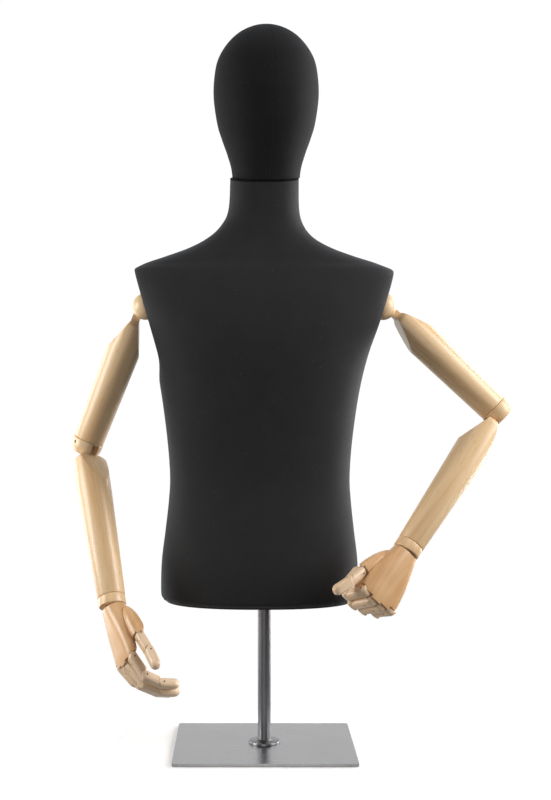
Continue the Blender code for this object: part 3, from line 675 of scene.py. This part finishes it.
# ---------------------------------------------------------------- stand
def build_stand():
    plate = frame["nodes"]["base_plate"]
    paint(plate, plate_metal)
    bevel = plate.modifiers.new("edges", "BEVEL")
    bevel.width = PLATE_EDGE
    bevel.segments = 3
    bevel.limit_method = "ANGLE"
    low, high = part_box("base_flange")
    outer = high.x
    inner = FLANGE_BORE
    profile = ((inner, low.z), (outer, low.z), (outer, high.z - 0.0012), (outer - 0.0004, high.z - 0.0004),
               (outer - 0.0014, high.z), (inner + 0.0040, high.z), (inner + 0.0018, high.z + 0.0006),
               (inner + 0.0004, high.z + 0.0022), (inner, high.z + 0.0022))
    flange = link("base_flange_turned", sleeve(profile))
    flange.data.shade_smooth()
    flange.data.set_sharp_from_angle(angle=math.radians(35.0))
    clad(flange, flange_metal, "stand", "satin_steel", "base_flange")
    low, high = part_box("pole")
    outer = high.x
    profile = ((outer - TUBE_WALL, low.z), (outer, low.z), (outer, high.z - 0.0004),
               (outer - 0.0004, high.z), (outer - TUBE_WALL, high.z))
    pole = link("pole_tube", sleeve(profile))
    pole.data.shade_smooth()
    pole.data.set_sharp_from_angle(angle=math.radians(35.0))
    clad(pole, pole_metal, "stand", "dark_steel", "pole")
    paint(frame["nodes"]["base_stud"], pole_metal)
    paint(frame["nodes"]["support_collar"], pole_metal)
    paint(frame["nodes"]["collar_screw"], pin_metal)


# ---------------------------------------------------------------- torso and head cloth
def soft_limit(value, limit, round_off):
    """The smaller of value and limit, with a rounded corner; also how far the limit has taken over."""
    gap = (value - limit) / round_off
    if gap > 6.0:
        return limit, 1.0
    if gap < -6.0:
        return value, 0.0
    blend = 1.0 / (1.0 + math.exp(-gap * 1.5))
    eased = limit - round_off * math.log1p(math.exp(-gap * 1.5)) / 1.5
    return eased, blend


def loft(rows, segments, power, centre_x, plates):
    """Rings of points, pressed back to the arm plates, with the plate weight of each point."""
    lean = math.tan(math.radians(ARM_PLANE_LEAN))
    rings = []
    for height, wide, front, back, forward, aside in rows:
        ring = []
        for k in range(segments):
            angle = 2.0 * math.pi * k / segments
            c = math.cos(angle)
            s = math.sin(angle)
            deep = back if s > 0 else front
            x = aside + math.copysign(abs(c) ** (2.0 / power), c) * wide
            y = math.copysign(abs(s) ** (2.0 / power), s) * deep
            weight = 0.0
            if plates and PLATE_LOW < height < PLATE_HIGH:
                limit = ARM_PLANE_X - (ARM_PLANE_Z - height) * lean
                near, weight = soft_limit(abs(x), limit, PLATE_ROUND)
                fade = min(1.0, (height - PLATE_LOW) / PLATE_FADE)
                fade = fade * fade * (3.0 - 2.0 * fade)
                weight *= fade
                x = math.copysign(abs(x) + (near - abs(x)) * fade, x)
            ring.append((Vector((centre_x + x, y - forward, height)), weight))
        rings.append(ring)
    return rings


def cloth_object(name, rings, closed_top, plane=None, keep_below=True):
    """A cloth skin with a UV map in metres along the cloth, cut at a plane."""
    bm = bmesh.new()
    uv = bm.loops.layers.uv.new("cloth")
    weights = bm.verts.layers.float.new("plate")
    loops = []
    for ring in rings:
        row = []
        for point, weight in ring:
            vert = bm.verts.new(point)
            vert[weights] = weight
            row.append(vert)
        loops.append(row)
    count = len(loops[0])
    heights = [0.0]
    for low, high in zip(rings, rings[1:]):
        heights.append(heights[-1] + (high[0][0] - low[0][0]).length)
    around = [0.0]
    widest = max(rings, key=lambda ring: max(abs(point.x) for point, _ in ring))
    for k in range(count):
        around.append(around[-1] + (widest[(k + 1) % count][0] - widest[k][0]).length)
    for j, (low, high) in enumerate(zip(loops, loops[1:])):
        for k in range(count):
            face = bm.faces.new((low[k], low[(k + 1) % count], high[(k + 1) % count], high[k]))
            spots = ((around[k], heights[j]), (around[k + 1], heights[j]),
                     (around[k + 1], heights[j + 1]), (around[k], heights[j + 1]))
            for corner, spot in zip(face.loops, spots):
                corner[uv].uv = spot
    if closed_top:
        bm.faces.new(loops[-1])
    if plane is not None:
        point, normal = plane
        geometry = list(bm.verts) + list(bm.edges) + list(bm.faces)
        bmesh.ops.bisect_plane(bm, geom=geometry, dist=1e-6, plane_co=point, plane_no=normal,
                               clear_outer=keep_below, clear_inner=not keep_below)
    obj = link(name, bm)
    obj.data.shade_smooth()
    return obj


def ring_at(name, obj, plane, radius, inset):
    """A thin rolled hem that follows where the cloth meets a plane."""
    point, normal = plane
    bm = bmesh.new()
    bm.from_mesh(obj.data)
    edge = [v.co.copy() for v in bm.verts if abs((v.co - point).dot(normal)) < 2e-4]
    bm.free()
    centre = sum(edge, Vector()) / len(edge)
    across = Vector((1.0, 0.0, 0.0))
    other = normal.cross(across).normalized()
    edge.sort(key=lambda p: math.atan2((p - centre).dot(other), (p - centre).dot(across)))
    thinned = []
    for p in edge:
        if not thinned or (p - thinned[-1]).length > 0.0008:
            thinned.append(p)
    curve = bpy.data.curves.new(name, "CURVE")
    curve.dimensions = "3D"
    curve.bevel_depth = radius
    curve.bevel_resolution = 4
    path = curve.splines.new("POLY")
    path.points.add(len(thinned) - 1)
    path.use_cyclic_u = True
    for spot, p in zip(path.points, thinned):
        towards = (centre - p).normalized()
        spot.co = (*(p + towards * inset), 1.0)
    made = bpy.data.objects.new(name, curve)
    bpy.context.scene.collection.objects.link(made)
    baked_mesh = bpy.data.meshes.new_from_object(made)
    bpy.data.objects.remove(made, do_unlink=True)
    obj = bpy.data.objects.new(name, baked_mesh)
    bpy.context.scene.collection.objects.link(obj)
    layer = baked_mesh.uv_layers.new(name="cloth") if not baked_mesh.uv_layers else baked_mesh.uv_layers[0]
    layer.name = "cloth"
    for corner, data in zip(baked_mesh.loops, layer.data):
        co = baked_mesh.vertices[corner.vertex_index].co
        data.uv = (math.atan2(co.y, co.x) * 0.1, co.z)
    baked_mesh.shade_smooth()
    return obj


def build_cloth():
    neck = place_of("head_turn")
    axis = axis_of("head_turn")
    if axis.z < 0.0:
        axis = -axis
    rows = spline(TORSO_SECTIONS, SPLINE_DETAIL)
    torso = cloth_object("torso_jersey", loft(rows, 176, TORSO_POWER, 0.0, True), False,
                         (neck - axis * NECK_BELOW, axis), True)
    bm = bmesh.new()
    bm.from_mesh(torso.data)
    low = min(v.co.z for v in bm.verts)
    edges = [e for e in bm.edges if e.is_boundary and max(v.co.z for v in e.verts) < low + 1e-4]
    for step in range(HEM_STEPS):
        turn = math.radians(180.0 * (step + 0.5) / HEM_STEPS)
        grown = bmesh.ops.extrude_edge_only(bm, edges=edges)
        fresh = [g for g in grown["geom"] if isinstance(g, bmesh.types.BMVert)]
        for vert in fresh:
            inward = Vector((-vert.co.x, -vert.co.y, 0.0)).normalized()
            vert.co += inward * HEM_IN * math.sin(turn) - Vector((0.0, 0.0, HEM_STEP)) * math.cos(turn)
        edges = [g for g in grown["geom"] if isinstance(g, bmesh.types.BMEdge) and g.is_boundary]
    grown = bmesh.ops.extrude_edge_only(bm, edges=edges)
    for vert in (g for g in grown["geom"] if isinstance(g, bmesh.types.BMVert)):
        vert.co.z += HEM_RETURN
    bm.to_mesh(torso.data)
    bm.free()
    torso.data.shade_smooth()
    clad(torso, torso_cloth, "torso", "charcoal_cloth", "torso_cover")
    # The neck hem and the lid below take the darkened jersey, painted shade in the neck gap.
    neck_hem = ring_at("torso_neck_hem", torso, (neck - axis * NECK_BELOW, axis), 0.0013, 0.0010)
    clad(neck_hem, neck_shadow_cloth, "torso", "charcoal_cloth")
    rings = [circle(LID_RADIUS * part, level, 96)
             for part, level in ((1.0, -0.0006), (0.97, 0.0), (0.5, 0.0), (0.225, 0.0))]
    lid_place = Matrix.Translation(neck - axis * 0.0022) @ axis.to_track_quat("Z", "Y").to_matrix().to_4x4()
    lid = link("torso_neck_lid", skin(rings, False, False), lid_place)
    lid.data.uv_layers.new(name="cloth")
    lid.data.shade_smooth()
    clad(lid, neck_shadow_cloth, "torso", "charcoal_cloth")

    rows = [(h, w, d, d, f, 0.0) for h, w, d, f in spline(HEAD_SECTIONS, SPLINE_DETAIL)]
    head = cloth_object("head_jersey", loft(rows, 128, HEAD_POWER, 0.0, False), True,
                        (neck + axis * NECK_ABOVE, axis), False)
    seam_turn = Matrix.Rotation(math.radians(HEAD_TURN), 4, "Z")
    seam_frame = Matrix.Translation((HEAD_X, -SEAM_FORWARD, 0.0)) @ seam_turn
    head.data.transform(seam_frame.inverted() @ Matrix.Translation((HEAD_X, 0.0, 0.0)))
    head.matrix_world = seam_frame
    clad(head, head_cloth_shaded, "head", "charcoal_cloth", "head_cover")
    flat = head.data.copy()
    flat.transform(head.matrix_world.copy())
    helper = bpy.data.objects.new("helper", flat)
    # The head's hem also takes the darkened jersey, painted shade in the neck gap.
    hem = ring_at("head_hem", helper, (neck + axis * NECK_ABOVE, axis), 0.0015, 0.0012)
    bpy.data.objects.remove(helper, do_unlink=True)
    clad(hem, neck_shadow_cloth, "head", "charcoal_cloth")

    # The shell ends just above the cloth's hem, so that it does not show under it
    paint(frame["nodes"]["head_core"], shaded_shell_plastic)
    bm = bmesh.new()
    bm.from_mesh(frame["nodes"]["torso_shell"].data)
    geometry = list(bm.verts) + list(bm.edges) + list(bm.faces)
    cut = bmesh.ops.bisect_plane(bm, geom=geometry, dist=1e-6, plane_co=(0.0, 0.0, SHELL_BOTTOM),
                                 plane_no=(0.0, 0.0, 1.0), clear_inner=True)
    rim = [item for item in cut["geom_cut"] if isinstance(item, bmesh.types.BMEdge)]
    bmesh.ops.holes_fill(bm, edges=rim)
    shell = link("torso_shell_trimmed", bm, frame["nodes"]["torso_shell"].matrix_world.copy())
    clad(shell, shaded_shell_plastic, "torso", "moulded_shell", "torso_shell")
    for name in ("bottom_board", "head_peg", "l_shoulder_block", "r_shoulder_block"):
        paint(frame["nodes"][name], board_wood)


# ---------------------------------------------------------------- arms
def limb_profile(radii, top, bottom):
    first, last = radii
    rows = [(first * math.cos(math.radians(a)), top - 0.014 + 0.014 * math.sin(math.radians(a)))
            for a in range(80, -1, -10)]
    rows.append((first, -FACET_LENGTH))
    steps = 8
    for k in range(1, steps):
        t = k / steps
        rows.append((first + (last - first) * t, -FACET_LENGTH + (bottom + 0.0015 + FACET_LENGTH) * t))
    rows += [(last, bottom + 0.0015), (last - 0.0005, bottom + 0.0005), (last - 0.0014, bottom)]
    return rows


def facet_cutters(radius):
    slope = math.tan(math.radians(FACET_ANGLE))
    shapes = []
    for sign in (1.0, -1.0):
        low = -FACET_LENGTH - 0.010
        high = 0.020
        outline = [
            (sign * (radius - slope * (low + FACET_LENGTH)), low),
            (sign * (radius - slope * (high + FACET_LENGTH)), high),
            (sign * 0.080, high),
            (sign * 0.080, low),
        ]
        shapes.append(prism(outline, -0.060, 0.060))
    return shapes


def limb_tongue(reach):
    outline = arc(TONGUE_ROUND, 180.0, 0.0, 25) + [(0.0078, -reach), (-0.0078, -reach)]
    return prism(outline, -TONGUE_HALF, TONGUE_HALF)


def build_limbs(key, frames):
    side = SIDES[key]
    swing = 0 if key == "l" else 1
    to_normal = Matrix.Rotation(math.radians(-90.0 * side), 4, "X")
    dome = [(SPIGOT_RADIUS, -0.022), (SPIGOT_RADIUS, GAP), (KNUCKLE_RADIUS - 0.0008, GAP),
            (KNUCKLE_RADIUS, GAP + 0.0008)]
    for k in range(1, 24):
        angle = math.radians(90.0 * k / 24)
        dome.append((KNUCKLE_RADIUS * math.cos(angle), KNUCKLE_RADIUS * math.sin(angle)))
    body = moved(lathe(dome, 64), Matrix.Translation((0.0, -side * SHOULDER_OUT, 0.0)) @ to_normal)
    floor_y = -side * (TONGUE_ROUND + GAP)
    top_y = side * 0.040
    slot = block((-SLOT_HALF, min(floor_y, top_y), -0.040), (SLOT_HALF, max(floor_y, top_y), 0.040))
    knuckle = carved(f"{key}_shoulder_knuckle_turned", body, frames["shoulder"],
                     [("DIFFERENCE", slot), ("DIFFERENCE", cross_rod(PIN_RADIUS, 0.0198))])
    clad(knuckle, limb_wood[2], f"{key}_shoulder", "beech", f"{key}_shoulder_knuckle")

    length = (place_of(f"{key}_shoulder_raise") - place_of(f"{key}_elbow_bend")).length
    bottom = -length + ELBOW_SEAM + GAP
    steps = [("DIFFERENCE", shape) for shape in facet_cutters(UPPER_RADII[0])]
    steps += [("DIFFERENCE", ball(0.0262)), ("UNION", limb_tongue(0.040)),
              ("DIFFERENCE", cross_rod(PIN_RADIUS, 0.040))]
    upper = carved(f"{key}_upper_arm_turned", lathe(limb_profile(UPPER_RADII, -0.018, bottom)),
                   frames["upper"], steps, 0.0011)
    clad(upper, limb_wood[swing], f"{key}_upper", "beech", f"{key}_upper_arm")

    profile = [(ELBOW_RADIUS - 0.0012, ELBOW_SEAM), (ELBOW_RADIUS - 0.0004, ELBOW_SEAM - 0.0004),
               (ELBOW_RADIUS, ELBOW_SEAM - 0.0013), (ELBOW_RADIUS, 0.0)]
    for k in range(1, 9):
        level = -0.0150 * k / 8
        profile.append((math.sqrt(ELBOW_RADIUS ** 2 - level ** 2), level))
    profile += [(0.0205, -ELBOW_DEPTH + 0.0004), (0.0190, -ELBOW_DEPTH)]
    slot = block((-SLOT_HALF, -0.040, -0.040), (SLOT_HALF, 0.040, TONGUE_ROUND + GAP))
    bore = moved(cross_rod(PIN_RADIUS, 0.030), Matrix.Translation((-side * 0.0045, 0.0, 0.0)))
    elbow = carved(f"{key}_elbow_knuckle_turned", lathe(profile, 64), frames["elbow"],
                   [("DIFFERENCE", slot), ("DIFFERENCE", bore)], 0.0008)
    clad(elbow, limb_wood[2], f"{key}_elbow", "beech", f"{key}_elbow_knuckle")

    length = (place_of(f"{key}_elbow_bend") - place_of(f"{key}_wrist_turn")).length
    steps = [("DIFFERENCE", shape) for shape in facet_cutters(FORE_RADII[0])]
    steps += [("DIFFERENCE", ball(ELBOW_RADIUS + 0.0016)), ("UNION", limb_tongue(0.042)),
              ("DIFFERENCE", cross_rod(PIN_RADIUS, 0.040))]
    fore = carved(f"{key}_forearm_turned", lathe(limb_profile(FORE_RADII, -0.020, -length)),
                  frames["fore"], steps, 0.0011)
    clad(fore, limb_wood[1 - swing], f"{key}_fore", "beech", f"{key}_forearm")

    radius = FORE_RADII[1] - 0.0004
    profile = ((radius - 0.0012, -GAP), (radius - 0.0003, -GAP - 0.0004), (radius, -GAP - 0.0014),
               (radius, -WRIST_LENGTH + 0.0014), (radius - 0.0003, -WRIST_LENGTH + 0.0004),
               (radius - 0.0012, -WRIST_LENGTH))
    slot = block((-SLOT_HALF, -0.0125, -0.040), (SLOT_HALF, 0.0125, -WRIST_PIN + TONGUE_ROUND + GAP))
    bore = cross_rod(PIN_RADIUS, radius - 0.0007, -WRIST_PIN)
    wrist = carved(f"{key}_wrist_block_turned", lathe(profile, 64), frames["wrist"],
                   [("DIFFERENCE", slot), ("DIFFERENCE", bore)])
    clad(wrist, limb_wood[2], f"{key}_wrist", "beech", f"{key}_wrist_block")
    for name in ("shoulder_pin", "elbow_pin", "wrist_pin"):
        paint(frame["nodes"][f"{key}_{name}"], pin_metal)


# ---------------------------------------------------------------- hands
def socket_cutter(width, reach):
    start = math.radians(SCOOP_START)
    outline = [(reach, reach * math.tan(start))]
    outline += arc(FINGER_SCOOP, SCOOP_START, 168.0, 20)
    outline += [(-reach, 0.0018), (-reach, -0.040), (reach, -0.040)]
    return prism(outline, -0.5 * width, 0.5 * width)


def palm_ring(z, wide, deep, bow):
    """A section of the palm: softly squared, hollowed a little on the palm side."""
    ring = []
    count = 72
    for k in range(count):
        angle = 2.0 * math.pi * k / count
        c = math.cos(angle)
        s = math.sin(angle)
        x = math.copysign(abs(c) ** (2.0 / PALM_POWER), c) * wide
        y = math.copysign(abs(s) ** (2.0 / PALM_POWER), s) * deep
        if s > 0.0:
            y -= bow * math.exp(-(x / (0.45 * wide)) ** 2) * s
        ring.append((x, y, z))
    return ring


def build_palm(key, frames):
    rows = spline(PALM_SECTIONS, 8)
    rings = [palm_ring(z, wide, deep, PALM_HOLLOW * math.sin(math.pi * min(1.0, -z / 0.100)))
             for z, wide, deep in rows]
    inverse = frames["palm"].inverted()
    root = inverse @ frames["thumb_1"]
    across = root.to_3x3() @ Vector((1.0, 0.0, 0.0))
    up = Vector((0.0, 0.0, 1.0)) - across * across.z
    lift = Matrix.Rotation(math.radians(THUMB_ROOT_LIFT), 3, across)
    thumb_root = frame_of(across, lift @ up, root.translation)
    steps = [("UNION", moved(lathe(spline(HEEL_PROFILE, 4), 48), thumb_root))]
    for sign in (1.0, -1.0):
        reach = 0.040
        outline = [(0.0, -CROWN_TOP), (sign * reach, -CROWN_TOP - CROWN_SLOPE * reach),
                   (sign * reach, 0.010), (0.0, 0.010)]
        steps.append(("DIFFERENCE", prism(outline, -0.060, 0.060)))
    steps.append(("UNION", limb_tongue(0.016)))
    steps.append(("DIFFERENCE", cross_rod(PIN_RADIUS, 0.040)))
    for name in FINGERS:
        spot = inverse @ place_of(f"{key}_{name}_1_hinge")
        wide = FINGER_PITCH + 2.0 * GAP
        lean = 0.0
        if name in ("index", "little"):
            wide += 0.020
            lean = math.copysign(0.010, spot.x)
        steps.append(("DIFFERENCE", moved(socket_cutter(wide, 0.030),
                                          Matrix.Translation(spot + Vector((lean, 0.0, 0.0))))))
    steps.append(("DIFFERENCE", moved(socket_cutter(FINGER_WIDTH + 4.0 * GAP, 0.0125), thumb_root)))
    palm = carved(f"{key}_palm_carved", skin(rings), frames["palm"], steps, 0.0009)
    clad(palm, palm_wood[0 if key == "l" else 1], f"{key}_palm", "beech", f"{key}_palm")


def finger_ring(z, wide, back, front):
    """A finger's section: rounded corners, between its back and its palm side."""
    ring = []
    middle = 0.5 * (front - back)
    deep = 0.5 * (front + back)
    count = 40
    for k in range(count):
        angle = 2.0 * math.pi * (k + 0.5) / count
        c = math.cos(angle)
        s = math.sin(angle)
        x = math.copysign(abs(c) ** (2.0 / FINGER_POWER), c) * wide
        y = math.copysign(abs(s) ** (2.0 / FINGER_POWER), s) * deep
        ring.append((x, middle + y, z))
    return ring


def phalanx(length, tip):
    """A finger segment: round head on the hinge at the origin, running down -Z, palm side towards +Y."""
    half = 0.5 * FINGER_WIDTH
    rings = []
    for k in range(15):
        rise = FINGER_ROUND * math.cos(math.radians(90.0 * k / 14 if k else 4.0))
        reach = math.sqrt(max(FINGER_ROUND ** 2 - rise ** 2, 0.0))
        rings.append(finger_ring(rise, half, reach, min(reach, FINGER_PALMAR)))
    if not tip:
        for k in range(1, 9):
            t = k / 8
            waist = 0.0003 * math.sin(math.pi * t)
            rings.append(finger_ring(-t * (length + 0.004), half - waist, FINGER_ROUND, FINGER_PALMAR))
        return skin(rings)
    start = -length + 0.0105
    for k in range(1, 5):
        rings.append(finger_ring(start * k / 4, half - 0.0002 * k / 4, FINGER_ROUND, FINGER_PALMAR))
    for k in range(1, 13):
        turn = math.radians(90.0 * k / 12 if k < 12 else 86.0)
        shrink = math.cos(turn) ** 0.85
        middle = 0.5 * (FINGER_PALMAR - FINGER_ROUND)
        deep = 0.5 * (FINGER_PALMAR + FINGER_ROUND) * shrink
        rings.append(finger_ring(start - 0.0105 * math.sin(turn), (half - 0.0002) * shrink,
                                 deep - middle, deep + middle))
    return skin(rings)


def finger_end(length):
    """Clears the end of a segment for the round head of the next."""
    return moved(socket_cutter(0.040, 0.030), Matrix.Translation((0.0, 0.0, -length)))


def build_fingers(key, frames):
    number = 0
    for name, lengths in [("thumb", THUMB_LENGTHS)] + list(FINGERS.items()):
        for joint, length in enumerate(lengths):
            label = f"{name}_{joint + 1}"
            body = f"{key}_{label}"
            tip = joint + 1 == len(lengths)
            steps = [] if tip else [("DIFFERENCE", finger_end(length))]
            if joint == 0:
                steps.append(("DIFFERENCE", block((-0.0011, -0.0100, -0.0100), (0.0011, -0.0060, -0.0055))))
            bone = carved(f"{body}_shaped", phalanx(length, tip), frames[label], steps, 0.0005)
            clad(bone, finger_wood[number % 4], body, "beech", body)
            for end, sign in (("a", 1.0), ("b", -1.0)):
                x = sign * 0.5 * FINGER_WIDTH
                turn = Matrix.Rotation(math.radians(90.0 * sign), 4, "Y")
                pin = moved(lathe(PIN_HEAD, 18), Matrix.Translation((x, 0.0, 0.0)) @ turn)
                head = link(f"{body}_pin_{end}", pin, frames[label])
                head.data.shade_smooth()
                clad(head, pin_metal, body, "dark_steel")
            number += 1


build_stand()
build_cloth()
for key in SIDES:
    frames = arm_frames(key)
    build_limbs(key, frames)
    build_palm(key, frames)
    build_fingers(key, frames)


# ---------------------------------------------------------------- studio
def build_studio():
    bm = bmesh.new()
    bmesh.ops.create_grid(bm, x_segments=1, y_segments=1, size=9.0)
    floor = link("studio_floor", bm, Matrix.Translation((0.0, 0.0, -0.0006)))
    made, tree, shader = nodes_of("studio_floor")
    place = add(tree, "ShaderNodeTexCoord").outputs["Object"]
    grain = noise(tree, mapped(tree, place, (40, 40, 40)), 1.0, 2.0)
    tree.links.new(mixed(tree, grain, (0.93, 0.93, 0.93), (0.90, 0.90, 0.90)), shader.inputs["Base Color"])
    shader.inputs["Roughness"].default_value = 0.9
    radial = add(tree, "ShaderNodeVectorMath", operation="LENGTH")
    tree.links.new(place, radial.inputs[0])
    fade = add(tree, "ShaderNodeMapRange", interpolation_type="SMOOTHSTEP")
    fade.inputs["From Min"].default_value = FLOOR_FADE[0]
    fade.inputs["From Max"].default_value = FLOOR_FADE[1]
    tree.links.new(radial.outputs["Value"], fade.inputs["Value"])
    clear = add(tree, "ShaderNodeBsdfTransparent")
    blended = add(tree, "ShaderNodeMixShader")
    tree.links.new(fade.outputs["Result"], blended.inputs["Fac"])
    tree.links.new(shader.outputs["BSDF"], blended.inputs[1])
    tree.links.new(clear.outputs["BSDF"], blended.inputs[2])
    tree.links.new(blended.outputs["Shader"], tree.nodes["Material Output"].inputs["Surface"])
    floor.data.materials.append(made)

    bm = bmesh.new()
    bmesh.ops.create_grid(bm, x_segments=1, y_segments=1, size=WALL_HALF)
    upright = Matrix.Rotation(math.radians(90.0), 4, "X")
    wall = link("studio_wall", bm, Matrix.Translation(WALL_PLACE) @ upright)
    made, tree, shader = nodes_of("studio_wall")
    shader.inputs["Base Color"].default_value = (0.0, 0.0, 0.0, 1.0)
    shader.inputs["Emission Color"].default_value = (1.0, 1.0, 1.0, 1.0)
    shader.inputs["Emission Strength"].default_value = 1.0
    wall.data.materials.append(made)

    # White seen all round, which gives no light of its own
    bm = bmesh.new()
    bmesh.ops.create_uvsphere(bm, u_segments=48, v_segments=24, radius=DOME_RADIUS)
    dome = link("studio_dome", bm)
    dome.data.materials.append(made)
    for rays in ("diffuse", "glossy", "transmission", "volume_scatter", "shadow"):
        setattr(dome, f"visible_{rays}", False)

    for name, place, aim, size, power, colour in LAMPS:
        light = bpy.data.lights.new(name, "AREA")
        light.shape = "RECTANGLE"
        light.size, light.size_y = size
        light.energy = power
        light.color = colour
        made = bpy.data.objects.new(name, light)
        made.location = place
        made.rotation_euler = (Vector(aim) - Vector(place)).to_track_quat("-Z", "Y").to_euler()
        bpy.context.scene.collection.objects.link(made)
    world = bpy.data.worlds.new("studio")
    bpy.context.scene.world = world
    world.use_nodes = True
    background = world.node_tree.nodes["Background"]
    background.inputs["Color"].default_value = (1.0, 1.0, 1.0, 1.0)
    background.inputs["Strength"].default_value = WORLD_STRENGTH
    bpy.context.scene.view_settings.view_transform = "Standard"
    bpy.context.scene.view_settings.look = "None"

    camera = bpy.data.cameras.new("camera")
    camera.lens = CAMERA_LENS
    camera.sensor_width = 36.0
    camera.shift_x, camera.shift_y = CAMERA_SHIFT
    made = bpy.data.objects.new("camera", camera)
    made.location = CAMERA_PLACE
    made.rotation_euler = (math.radians(90.0), 0.0, 0.0)
    bpy.context.scene.collection.objects.link(made)
    bpy.context.scene.camera = made


build_studio()
bpy.context.view_layer.update()
